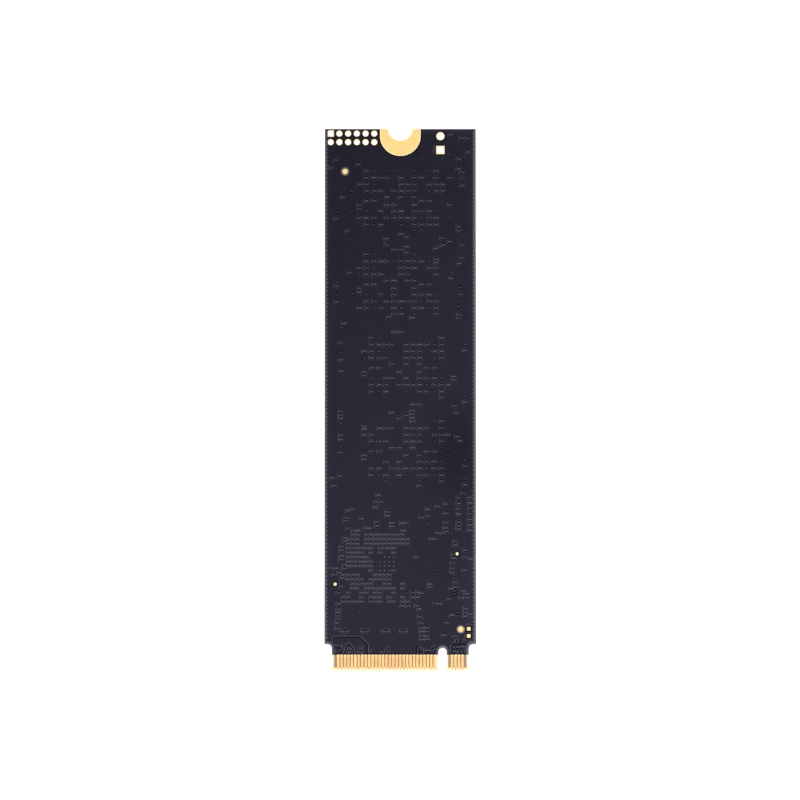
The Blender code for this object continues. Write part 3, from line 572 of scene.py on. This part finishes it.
def top_path(side):
    """Along the screw end from right to left, on one side of the screw land."""
    ends = sorted((side * (BOARD_HALF - CORNER_GAP), side * (LAND_RADIUS + LAND_GAP)))
    return [(ends[1], SCREW_END), (ends[0], SCREW_END)]


add_band("edge_band_left", shoulder_path(-1.0), pale=0.18, width=0.34)
add_band("edge_band_right", shoulder_path(1.0)[::-1], pale=0.265, width=0.425)
add_band("edge_band_key", key_path(), pale=0.16, width=0.3)
add_band("edge_band_top_left", top_path(-1.0), pale=0.07, width=0.14)
add_band("edge_band_top_right", top_path(1.0), pale=0.07, width=0.14)

# Tented vias

VIA_RING = 0.39
DOT_STEPS = 10
DOT_SHIFT = 0.03
DOT_RADII = (0.12, 0.14, 0.13, 0.15, 0.125)
DOME = ((1.0, 0.0), (0.72, 0.55), (0.38, 0.88))


def via_ring(bm, centre, radius, reach, right):
    """The clearance in the copper round a via: its sides catch light through the ink, the left one most."""
    ends = 180.0 - 2.0 * reach
    ridge(bm, arc(centre, radius, 180.0 - reach, 180.0 + reach, steps=6), width=0.09, height=0.012)
    ridge(bm, arc(centre, radius, -reach, reach, steps=5), width=0.07, height=right)
    for start in (reach, reach - 180.0):
        ridge(bm, arc(centre, radius, start, start + ends, steps=4), width=0.08, height=0.002)


def via_dot(bm, centre, radius, height=0.014, material=DOT, stretch=2.05):
    """The plugged hole itself, a small dome, in a lighter ink: painted highlight."""
    section = [(radius * share, LOW + height * rise) for share, rise in DOME]
    section = [(0.0, LOW)] + section + [(0.0, LOW + height)]
    turned(bm, centre, section, DOT_STEPS, material, stretch)


# A flat disc of dark ink just over the ink's face: painted shade
def dark_disc(bm, centre, radius, material=DEEP_SHADE):
    section = [(0.0, FLAT), (radius, FLAT), (radius, LOW), (0.0, LOW)]
    turned(bm, centre, section, DOT_STEPS, material)


def add_vias(name, ringed, plain, deep):
    """Vias in clear rings, vias in the copper and sunk vias, each dot on a disc of painted shade, widest
    when sunk.
    """
    bm = bmesh.new()
    for i, (x, y) in enumerate(ringed):
        hole = (x + DOT_SHIFT, y)
        via_ring(bm, (x, y), VIA_RING, reach=50.0, right=0.006)
        dark_disc(bm, hole, radius=0.27, material=SHADE)
        via_dot(bm, hole, DOT_RADII[i % len(DOT_RADII)])
    for centre in plain:
        dark_disc(bm, centre, radius=0.23, material=SHADE)
        via_dot(bm, centre, radius=0.115, height=0.012, material=FAINT, stretch=1.5)
    for centre in deep:
        dark_disc(bm, centre, radius=0.33)
        via_dot(bm, centre, radius=0.12, height=0.011, material=FAINT, stretch=2.0)
    add_piece(name, bm, INKS)


# One map for each memory package, read row by row: O a via in a clear ring, . a via in the copper, _ none
MAP_COLUMNS = (-5.9, -4.9, -3.77, -2.79, -1.95, -0.89, 0.12, 1.08, 2.06, 3.05, 4.2, 5.19, 6.13, 7.15)
MAP_DROPS = (0.0, 1.03, 2.0, 2.97, 3.9, 4.46, 5.04, 5.6, 5.97, 6.96, 7.96, 8.83)
MAP_STRETCH = 1.008
NAND_MAPS = {
    "nand_1": (0.0, 33.78, """
        _O._..__._.O__  _OOOO_O_OO_O_O  OO.___OOO_OOO_  _OOO_OOOO_.OO_
        ____O_O_O_____  _OO______OO___  O___OO__O____O  O_____________
        _._O_OO_OOO.._  OOO_OOOOO.OO_.  _O.O__._OOOO__  ___.____..____"""),
    "nand_2": (0.0, 21.42, """
        _O._.___._____  _OOOO.OOOO.___  OO.___OOO_OO__  .OOO__OO__.O__
        ____OO_OO_____  _OO______OO___  O____O__O_____  O_____________
        _._O_O__OOO.__  _OO_OOOOO.OO__  OO.O_O._OO.O__  ___._OO_.__O__"""),
    "nand_3": (0.74, 9.08, """
        _O._._._.__O__  _OOOO_OOOO.O__  OO.___OOO_OO__  .OOO__OOO_.O__
        ____O_O_O_____  _OO______OO___  O____O__O_____  O_____________
        _._OO_O_OOO.__  _OOO_OOOO.OOO_  _O.O__._OO.O__  ___.____.__O__"""),
    "nand_4": (0.74, -3.26, """
        ____.__O._.O__  O.OOO.OOOO_O__  OO____OOO_OOO_  .OOO__OOO_.O__
        ____OO_O______  _OO______OO___  O_____O_O_____  O_____________
        _._O_O__OOO.__  _OO_OOOOO.OO__  _O.O_O._OO.O__  ___.____.__O__"""),
}

# Ringed, plain and deep vias beside each map, as columns and rows of the photograph
NAND_STRAYS = {
    "nand_1": (
        [
            (450.6, 134.1), (461.4, 137.4), (467.9, 137.9), (467.9, 151.5), (458.7, 158.5),
            (458.5, 168.3), (462.3, 171.8), (462.6, 177.2), (462.3, 185), (358.3, 163.9), (342.6, 197),
            (336.2, 218.2), (347, 230.5), (458.5, 226.5), (458.7, 230.2), (400.8, 233.8), (406.9, 237),
            (335.9, 159.6), (330.6, 167.4),
        ],
        [
            (448.9, 153.6), (442.4, 158), (422.2, 157.5), (374, 157.4), (458.2, 213), (458.6, 218),
            (462.1, 235.3),
        ],
        [(351.6, 190.4), (336.2, 212), (351.7, 211)],
    ),
    "nand_2": (
        [
            (386.2, 238.4), (386.2, 244.3), (442.2, 238), (449.4, 241.3), (443.7, 244.8),
            (435.8, 248.3), (439.7, 246.3), (462.2, 244.9), (394, 249.3), (400.6, 249.3),
            (406.8, 246.4), (406.8, 252.2), (462, 257.6), (459.2, 263.2), (349.3, 272.6),
            (450.8, 278.2), (336.2, 286.2), (461.7, 294.2), (336.2, 301.7), (389, 316.7),
            (412.1, 317.6), (458.8, 314.6), (458.8, 318.4), (436.3, 259.2), (436.3, 262.3),
            (344.3, 323.4),
        ],
        [(452.3, 272.8), (462.2, 251.3), (458.5, 301.7), (341.1, 327.4)],
        [(461, 287.2), (458.6, 306.3), (353.5, 293.3), (336.3, 295.5)],
    ),
    "nand_3": (
        [
            (394, 331.8), (397.5, 331.8), (401.3, 332), (453.8, 376.5), (453.8, 379.8), (464.5, 350.5),
            (464.5, 402), (340.7, 343), (340.7, 359.8), (340.8, 371), (412.6, 404.5), (419.4, 404.5),
        ],
        [(464.5, 344), (464.7, 396), (341, 352.8)],
        [],
    ),
    "nand_4": (
        [
            (391.8, 412.5), (398.9, 418.5), (406, 415.5), (412.2, 410.6), (412.2, 414.1),
            (412.2, 417.7), (412.2, 421.3), (364.4, 426), (364.4, 429), (457, 436.6), (460, 440.8),
            (419.1, 485.7), (454, 406), (456, 412.7), (464.6, 466), (464.6, 484.6), (340.5, 411.2),
            (340.5, 415.2), (340.5, 418.4), (340.5, 435), (340.5, 439.5), (340.5, 452.5), (339.8, 476),
            (332, 477.8), (334.2, 485.5),
        ],
        [
            (464.4, 459.5), (464.6, 478.7), (340.5, 423.6), (340.5, 427.6), (340.5, 446.8),
            (329.5, 480.4),
        ],
        [(448, 455.5)],
    ),
}


def photo_points(points):
    return [from_photo(*point) for point in points]


def add_nand_vias(name):
    """The vias under one memory package, from its map, and those beside it."""
    shift, top, rows = NAND_MAPS[name]
    found = {"O": [], ".": []}
    for drop, marks in zip(MAP_DROPS, rows.split()):
        for column, mark in zip(MAP_COLUMNS, marks):
            if mark in found:
                found[mark].append(((column + shift) * MAP_STRETCH, top - drop))
    ringed, plain, deep = map(photo_points, NAND_STRAYS[name])
    add_vias(name + "_vias", found["O"] + ringed, found["."] + plain, deep)


for name in NAND_MAPS:
    add_nand_vias(name)

# The finer field under the controller: its first via and its pitch, as columns and rows of the photograph
CONTROLLER_FIRST = (343.7, 534.5)
CONTROLLER_PITCH = (4.54, 4.45)
CONTROLLER_RING = 0.33
CONTROLLER_MAP = """
    __OO_OOOOOOOOO_  _OOO_OOOOOOOOOO  _OOO_OOOOOOOOOO  _OOOOOO_OOOO___  _OOOO_O_O__O___
    _OOOOO___...___  _OOOOOO_....___  _OOOOOO_....___  ______O_...O___  OOOO___OOOO____
    _OOOO_OOOOO____  __OOOOO__OO__O_  __OO_OOOOOOO_O_  _O__OO_OO__O___  OO__O_OOO_O__O_
    OOOOO_OOO_OO_OO"""
# Dark spots in the field: discs of painted shade
CONTROLLER_SHADE_SPOTS = [
    (346.5, 601.5), (373.6, 601.5), (386.6, 601.4), (343.8, 599.2), (349.2, 599.2), (371.4, 599.2),
]


def add_controller_vias():
    bm = bmesh.new()
    for r, marks in enumerate(CONTROLLER_MAP.split()):
        row = CONTROLLER_FIRST[1] + CONTROLLER_PITCH[1] * r
        for k, mark in enumerate(marks):
            place = from_photo(CONTROLLER_FIRST[0] + CONTROLLER_PITCH[0] * k, row)
            if mark == "O":
                via_ring(bm, place, CONTROLLER_RING, reach=46.0, right=0.0085)
                via_dot(bm, place, radius=0.11, height=0.013)
            elif mark == ".":
                dark_disc(bm, place, radius=0.2, material=SHADE)
                via_dot(bm, place, radius=0.12, height=0.015, stretch=1.25)
    for point in CONTROLLER_SHADE_SPOTS:
        dark_disc(bm, from_photo(*point), radius=0.14)
    add_piece("controller_vias", bm, INKS)


add_controller_vias()

# Vias between and beside the fields, as columns and rows of the photograph; the nudge moves the ringed ones
LOOSE_NUDGE = 0.55
LOOSE_RINGED = [
    (411.8, 592.3), (416.7, 592), (420.7, 593), (402, 605.5), (407.5, 605.5), (412.2, 597),
    (416.8, 597), (415.9, 605.5), (402.8, 530.4), (344, 564.4), (344, 568.2), (415.6, 557),
    (452.5, 554.2), (418.8, 608.8), (419.4, 616.4), (420.2, 622.6), (421.4, 627.5), (426, 627.4),
    (421.4, 631), (426, 630.8), (421.2, 635.5), (426, 635.4), (421.2, 638.9), (426.2, 638.6),
    (333.3, 574.6), (329.8, 567.6), (335.7, 568), (338.7, 572.2), (341.7, 577.9), (340.6, 586),
    (337.9, 592.5), (338, 603.4), (338, 609), (338, 612), (338, 615.3), (338, 618.5), (336.3, 622.6),
    (336.5, 628), (377.5, 495.1), (375.4, 501.7), (380.5, 502), (374.8, 507.3), (351.4, 508.9),
    (347.3, 510.4), (346.8, 517.8), (345, 520.6), (361.1, 518.6), (386.6, 511.7), (386.6, 515.5),
    (376.1, 521.6), (376.6, 525.7), (391.4, 522.7), (391.4, 526.2), (401.2, 523.1), (347, 528),
    (364.9, 528), (368.2, 528), (353.4, 530.3), (357.5, 530.3), (344, 537.7), (344.7, 540.8),
    (340.9, 546.4), (340.9, 549.9), (340.9, 555.6), (340.7, 559.1), (462.5, 493.3), (444.9, 504),
    (436.7, 506.3), (427.2, 509.2), (427.5, 516), (420.5, 517.1), (444.9, 513.3), (444.9, 522.4),
    (444.6, 527.7), (445.4, 531.5), (406.5, 522.8), (437.3, 532.8), (442.2, 533.1), (430.8, 538.5),
    (435.1, 538.8), (454.6, 541), (454.6, 545), (464.6, 549.9), (453, 557.8), (452.2, 562.6),
    (464.6, 556.9), (470.6, 558.8), (451.4, 568.1), (451.4, 572.5), (454.6, 582), (454.9, 586.6),
    (450.3, 588.2), (462.8, 590.4), (465.5, 593.3), (460.6, 597.4), (465.7, 597.4), (463.6, 570),
    (447.6, 598.5), (429.1, 583.8), (429.1, 586.8), (434.8, 602.5), (438.9, 603.4), (446.5, 622.3),
    (451.4, 614.7), (464.9, 608.2), (464.9, 612.3), (463.8, 615.8), (469.8, 613.4), (443.2, 634.8),
    (454.4, 635.3),
]
LOOSE_COLUMNS = {
    457.9: (497.6, 503.2, 508.7, 513.8, 522.2, 525.8, 529),
    469.3: (497.3, 502.8, 508.3, 513.8, 519.3, 524.9, 530.1),
}
LOOSE_PLAIN = [
    (359, 610.7), (372.3, 609.9), (385.6, 610.1), (422.6, 618.3), (406.4, 592.5), (411.8, 601.2),
    (428.1, 523.5), (450.6, 501.1), (452.7, 533.1), (428.7, 543.7), (464.1, 540.1), (464.4, 543.9),
    (453.8, 575.2), (453.8, 577.9), (436.5, 570.3), (433.8, 573.6), (428, 564), (456.4, 615.5),
    (438, 555.3), (429, 597.8), (339.4, 582.8),
]
LOOSE_DEEP = [(454.5, 590.6), (454.5, 593.4), (457.2, 612)]
for column, rows in LOOSE_COLUMNS.items():
    LOOSE_RINGED += [(column, row) for row in rows]
nudged = [(column + LOOSE_NUDGE, row) for column, row in LOOSE_RINGED]
add_vias("loose_vias", photo_points(nudged), photo_points(LOOSE_PLAIN), photo_points(LOOSE_DEEP))

# Stitching vias down both long edges: where each line lies, where one of its dots is, and their radius
STITCH_PITCH = 0.601
STITCH_MARGIN = 0.4
STITCH_SIDE = 0.19
STITCHES = ((-10.58, 0.345, 0.11), (10.49, 0.3, 0.085))


def add_edge_vias():
    """Light dots, a painted highlight, with spots of painted shade between them and on their outer side."""
    bm = bmesh.new()
    for x, start, radius in STITCHES:
        outside = x + math.copysign(STITCH_SIDE, x)
        first = math.ceil((SHOULDER + STITCH_MARGIN - start) / STITCH_PITCH)
        last = math.floor((SCREW_END - STITCH_MARGIN - start) / STITCH_PITCH)
        for i in range(first, last + 1):
            y = start + i * STITCH_PITCH
            via_dot(bm, (x, y), radius, height=0.016, material=LINE, stretch=1.0)
            dark_disc(bm, (x, y + STITCH_PITCH / 2), radius=0.085, material=SHADE)
            dark_disc(bm, (outside, y), radius=0.06, material=SHADE)
    add_piece("edge_vias", bm, INKS)


add_edge_vias()

# Lanes and pours near the contacts, as columns and rows of the photograph
LANE_ROW = 630.3
LANE_COLUMNS = (344.7, 365.0, 385.6, 403.5)
POUR_FRAME = [(332.6, 653.2), (332.6, 638), (333.8, 635.6), (360.4, 635.6)]
POUR_EDGES = [
    [(360.4, 635.6), (368.5, 643.6), (368.5, 653.2)],
    [
        (342.8, 653), (344.2, 650.2), (345.3, 647.6), (346.2, 643.8), (348.2, 642), (350.6, 642.6),
        (352.2, 645.2), (354.2, 647.8), (354.9, 650), (354.9, 653),
    ],
    [(383.8, 653.2), (384.6, 650.4), (386.4, 647.6), (389, 645.4)],
    [(386.6, 653.2), (387.4, 650.8), (389.4, 649)],
    [
        (417.7, 653.2), (417.7, 649.6), (418.6, 647.4), (420.4, 646.6), (422.2, 647.3), (423.5, 649.2),
        (423.5, 653),
    ],
    [(431, 647.8), (433.2, 646), (436.2, 644.6)],
    [(432, 651.2), (434, 649), (436.2, 647)],
    [(450.4, 653.2), (450.4, 645.2), (451.8, 643.8)],
]
# Fine lines, the last three of them beside the chip lands and the square jumper pad
POUR_LINES = [
    [
        (346.6, 653), (346.7, 650.2), (347.8, 647.4), (349.2, 646.2), (351.2, 647.6), (352.5, 650),
        (352.4, 653),
    ],
    [
        (357.6, 652.8), (357.5, 649), (358.4, 646.4), (360.2, 645.2), (362, 646.4), (362.8, 649),
        (362.6, 652.8),
    ],
    [(342.5, 644), (342.6, 649)],
    [(453.4, 642), (454.6, 639.4), (457, 638.3), (459.4, 638.8)],
    [(455.4, 639.4), (455.4, 642)],
    [(458.3, 639), (458.3, 642)],
    [(462.6, 638.6), (462.6, 642.2)],
    [(465.2, 626.6), (466.2, 624.3), (468.6, 623.5), (472, 624.3)],
    [(464.9, 633.8), (464.8, 640.6)],
    [(434.1, 144.6), (433.7, 149.2), (434.1, 153.8)],
]
POUR_SHADES = [
    [(453, 643.7), (465, 643.7)],
    [(465.9, 645), (465.9, 650)],
    [(455.4, 648.4), (459, 648.4)],
    [(426.4, 651.2), (429.4, 651.2)],
    [(416.4, 646), (416.4, 652.8)],
]
# Light dots in the pours, domes in lighter ink: painted highlight
POUR_DOTS = [
    (349.6, 648.5), (350.4, 651.5), (348.8, 652.2), (360.4, 648.4), (359.3, 651.5), (361.5, 652.2),
    (335.3, 644.3), (337.6, 644.4), (340.6, 645.6), (335.4, 649.5), (339.5, 649.4), (335.5, 651.5),
    (370.7, 650.6), (381.3, 651.4), (389.6, 651.4), (421.3, 649.1), (425.6, 649.7), (427.7, 649.4),
    (430.2, 649.7), (435.6, 651.6), (453.6, 646.6), (457.6, 646.6), (460.4, 646.2), (462.8, 645.7),
    (464.4, 646.1), (453.4, 650.6), (455.3, 650.4), (457.6, 650.6), (461.5, 651.2), (464.4, 649.3),
    (456.6, 652.3),
]
# Dark spots in the pours: discs of painted shade
POUR_SHADE_SPOTS = [
    (350.7, 649.8), (360, 646.7), (360.9, 649.9), (336.4, 644.6), (338.5, 647.4), (340.7, 647.4),
    (341, 650.5), (421.6, 650.8), (419.3, 651.2), (425, 652.2), (431, 648.8), (456.9, 640.3),
    (459.8, 639.9), (461.2, 640.7), (452.8, 648.6), (462, 648.6), (454.4, 652), (456.4, 651.2),
    (459.6, 651.8), (463.2, 650.4),
]

# The clear oval round the two vias of a lane, with a shade along its upper half
OVAL_HALF = 0.28
OVAL_RADIUS = 0.34
OVAL_SHADE_HALF = 0.42
OVAL_SHADE_RISE = 0.07
LANE_VIAS = (-0.26, 0.26)
LANE_VIA_DROP = 0.1


def lane_oval(bm, x, y):
    right = arc((x + OVAL_HALF, y), OVAL_RADIUS, -90.0, 90.0, steps=8)
    left = arc((x - OVAL_HALF, y), OVAL_RADIUS, 90.0, 270.0, steps=8)
    ridge(bm, right + left + right[:1], width=0.11, height=0.013)
    row = y + OVAL_SHADE_RISE
    shade = [(x - OVAL_SHADE_HALF, row), (x + OVAL_SHADE_HALF, row)]
    strip(bm, shade, width=0.12, material=SHADE)
    for dx in LANE_VIAS:
        via_dot(bm, (x + dx, y - LANE_VIA_DROP), radius=0.11, stretch=1.5)


def copper_edge(bm, points, width, height, shade):
    """An edge of copper under ink: a light bead and, unless shade is 0, a dark line that far beside it."""
    # The bead's lighter ink is a painted highlight, the dark line beside it painted shade
    path = photo_points(points)
    ridge(bm, path, width, height, LINE)
    if shade:
        strip(bm, beside(path, shade), width=0.18, material=DEEP_SHADE)


def add_pours():
    bm = bmesh.new()
    for column in LANE_COLUMNS:
        lane_oval(bm, *from_photo(column, LANE_ROW))
    copper_edge(bm, POUR_FRAME, width=0.11, height=0.006, shade=-0.16)
    for points in POUR_EDGES:
        copper_edge(bm, points, width=0.12, height=0.011, shade=-0.16)
    for points in POUR_LINES:
        copper_edge(bm, points, width=0.1, height=0.009, shade=0.0)
    for points in POUR_SHADES:
        strip(bm, photo_points(points), width=0.2, material=DEEP_SHADE)
    for point in POUR_DOTS:
        via_dot(bm, from_photo(*point), radius=0.115, height=0.015, material=LINE, stretch=1.2)
    for point in POUR_SHADE_SPOTS:
        dark_disc(bm, from_photo(*point), radius=0.12)
    add_piece("pour_lines", bm, INKS)


add_pours()

# Dark rings round pads and lands, and along the ink's end over the contacts: painted shade
RINGED_NODES = ("header_eyelet", "jumper_eyelet", "test_pad", "chip_land")
SQUARE_PADS = ("header_eyelet_01", "jumper_eyelet_square", "chip_land_1", "chip_land_2")
RING_STEPS = 24
EYELET_RING = 0.16
PAD_RING = 0.18
RING_LAP = 0.005
BARED_RADIUS = 0.66
BARED_GAP = 0.1
LAND_RING = 0.1
ROOT_GAP = 0.35
KEY_GAP = 0.3
ROOT_LIFT = 0.08


def middle_and_half(name):
    """Middle of a CAD node and half its width."""
    low, high = corners(name)
    return (low + high) / 2, (high.x - low.x) / 2


def square_ring(bm, centre, half, ring):
    reach = half + ring / 2
    for x, y in ((0, 1), (0, -1), (1, 0), (-1, 0)):
        middle = Vector((centre.x + x * reach, centre.y + y * reach))
        run = Vector((abs(y), abs(x))) * (half + ring)
        strip(bm, [tuple(middle - run), tuple(middle + run)], ring, GAP_SHADE, DEEP)


def round_ring(bm, centre, inner, outer, material):
    section = [(outer, LOW), (outer, FLAT), (inner, FLAT), (inner, DEEP)]
    turned(bm, (centre.x, centre.y), section, RING_STEPS, material)


def add_clear_rings():
    """Painted shade round the pads, along the screw land and over the contacts' roots; bared board round
    the upper fiducial.
    """
    bm = bmesh.new()
    for name in nodes:
        if not name.startswith(RINGED_NODES):
            continue
        centre, half = middle_and_half(name)
        ring = EYELET_RING if "eyelet" in name else PAD_RING
        if name in SQUARE_PADS:
            square_ring(bm, centre, half, ring)
        else:
            round_ring(bm, centre, half - RING_LAP, half + ring, GAP_SHADE)
    centre, half = middle_and_half("fiducial_upper")
    round_ring(bm, centre, half + BARED_GAP, BARED_RADIUS, BARED)
    strip(bm, land_path(LAND_RADIUS + LAND_RING, SCREW_GAP), width=0.21, material=GAP_SHADE, low=DEEP)
    left_run = (ROOT_GAP - TONGUE_HALF, KEY[0] - KEY_RADIUS - KEY_GAP)
    right_run = (KEY[0] + KEY_RADIUS + ROOT_GAP, TONGUE_HALF - ROOT_GAP)
    y = MASK_END + ROOT_LIFT
    for start, end in (left_run, right_run):
        strip(bm, [(start, y), (end, y)], width=0.15, material=GAP_SHADE)
    add_piece("clear_rings", bm, RING_INKS)


add_clear_rings()

# Gold

paint("back_copper", CONTACT)
paint("front_copper", CONTACT)
paint("screw_notch_plating", LAND)
for name in nodes:
    if name.startswith(("header_eyelet", "jumper_eyelet", "test_pad")):
        paint(name, BARREL)
    elif name.startswith("chip_land"):
        paint(name, PAD)
    elif name.startswith("fiducial"):
        paint(name, FIDUCIAL)

# The land's bright outer rim: a low bead in paler gold, the paleness a painted highlight
RIM_INSET = 0.07
RIM_GAP = 0.02
RIM_BASE = LAND_TOP - 0.001
bm = bmesh.new()
ridge(bm, land_path(LAND_RADIUS - RIM_INSET, RIM_GAP), width=0.13, height=0.0085, base=RIM_BASE)
add_piece("screw_land_rim", bm, [RIM])

# Ends of the contacts, cut to points by the bevel
CONTACTS_EACH_SIDE = 18
KEY_CLEAR = 1.0
BEVEL_LENGTH = 0.48
BEVEL_DROP = 0.17
BEVEL_START = CONTACT_END + BEVEL_LENGTH
TIP_START = CONTACT_END + 0.7
POINT_END = BEVEL_START - 0.36
POINT_HALF = 0.02
SKIN_OVER = 0.012
SKIN_UNDER = -0.02


def tip_loop(bm, x, lift):
    """One face's outline of a contact's end, bent down the bevel."""
    half = [(CONTACT_HALF, TIP_START), (CONTACT_HALF, BEVEL_START), (POINT_HALF, POINT_END)]
    outline = [(-dx, y) for dx, y in half] + half[::-1]
    loop = []
    for dx, y in outline:
        fall = max(BEVEL_START - y, 0.0) * BEVEL_DROP / BEVEL_LENGTH
        loop.append(add_corner(bm, x + dx, y, LAMINATE_TOP + lift - fall))
    return loop


def add_contact_tips():
    bm = bmesh.new()
    for number in range(-CONTACTS_EACH_SIDE, CONTACTS_EACH_SIDE + 1):
        x = number * CONTACT_PITCH
        if abs(x - KEY[0]) < KEY_CLEAR:
            continue
        top = tip_loop(bm, x, SKIN_OVER)
        under = tip_loop(bm, x, SKIN_UNDER)
        for loop in (top, under):
            bm.faces.new((loop[0], loop[1], loop[4], loop[5]))
            bm.faces.new((loop[1], loop[2], loop[3], loop[4]))
        for i in range(len(top)):
            j = (i + 1) % len(top)
            bm.faces.new((top[i], top[j], under[j], under[i]))
    add_piece("contact_tips", bm, [CONTACT])


add_contact_tips()

# Board and chip side

INDUCTOR_GREY = (0.075, 0.075, 0.08)
RAIL_TAN = (0.3, 0.19, 0.11)
SMALL_TAN = (0.33, 0.21, 0.12)
MEMORY = package("memory_package", compound=0.72, substrate=0.95)

paint("laminate", BOARD)
paint("front_solder_mask", MASK)
for name in NAND_MAPS:
    paint(name, MEMORY)
paint("controller", package("controller_package", compound=0.69, substrate=0.95))
paint("power_manager", package("manager_package", compound=1.13, substrate=1.14))
paint("load_switch", package("switch_package", compound=1.13, substrate=1.14))
paint("crystal", lidded("crystal_can", lid=0.87))
for name in nodes:
    centre = middle_and_half(name)[0]
    if name.startswith("inductor"):
        paint(name, chip(name + "_finish", "X", centre.x, inner=0.65, body=INDUCTOR_GREY, low=0.9))
    elif name.startswith("rail_capacitor"):
        paint(name, chip(name + "_finish", "Y", centre.y, inner=0.45, body=RAIL_TAN))
    elif name.startswith(("nand_capacitor", "lane_capacitor")):
        paint(name, chip(name + "_finish", "Y", centre.y, inner=0.25, body=SMALL_TAN))

# Floor, light and camera, in metres

FLOOR_HALF = 5.0
FLOOR_DROP = 0.00002


def floor_paper():
    s = Shader("floor")
    speck = s.noise(per_mm=0.02, detail=2.0)
    s.set(
        Base_Color=s.ramp(speck, (0.3, (0.84, 0.84, 0.84)), (0.7, (0.87, 0.87, 0.87))),
        Roughness=0.9,
        Specular_IOR_Level=0.1,
        Emission_Color=(1.0, 1.0, 1.0),
        Emission_Strength=0.85,
    )
    return s.material


bm = bmesh.new()
bmesh.ops.create_grid(bm, x_segments=2, y_segments=2, size=FLOOR_HALF)
floor_mesh = bpy.data.meshes.new("floor")
bm.to_mesh(floor_mesh)
bm.free()
floor_mesh.materials.append(floor_paper())
floor = bpy.data.objects.new("floor", floor_mesh)
floor.location.z = -FLOOR_DROP
scene.collection.objects.link(floor)

world = bpy.data.worlds.new("studio")
scene.world = world
world.use_nodes = True
background = world.node_tree.nodes["Background"]
background.inputs["Color"].default_value = (0.97, 0.98, 1.0, 1.0)
background.inputs["Strength"].default_value = 0.55


def add_panel(name, place, width, length, radiance):
    """A soft panel turned to the drive; radiance is its brightness seen directly."""
    light = bpy.data.lights.new(name, "AREA")
    light.shape = "RECTANGLE"
    light.size = width
    light.size_y = length
    light.energy = radiance * math.pi * width * length
    panel = bpy.data.objects.new(name, light)
    panel.location = place
    panel.rotation_euler = (-Vector(place)).to_track_quat("-Z", "Y").to_euler()
    scene.collection.objects.link(panel)


add_panel("overhead", (0.0, 0.2, 1.2), width=0.75, length=0.75, radiance=0.14)
add_panel("left_panel", (-0.55, 0.0, 0.95), width=0.35, length=0.7, radiance=6.0)
add_panel("right_panel", (0.55, 0.0, 0.95), width=0.35, length=0.7, radiance=6.0)

target = Vector((AIM[0], AIM[1], LAND_TOP)) * MM
distance = LENS / SENSOR * IMAGE_WIDTH / PIXELS_PER_MM * MM
tilt = math.radians(ELEVATION)
camera_data = bpy.data.cameras.new("photo_camera")
camera_data.lens = LENS
camera_data.sensor_width = SENSOR
camera_data.clip_start = 0.05
camera_data.clip_end = 20.0
camera = bpy.data.objects.new("photo_camera", camera_data)
camera.location = target + Vector((0.0, -math.cos(tilt), math.sin(tilt))) * distance
camera.rotation_euler = (target - camera.location).to_track_quat("-Z", "Y").to_euler()
scene.collection.objects.link(camera)
scene.camera = camera
scene.view_settings.view_transform = "Standard"
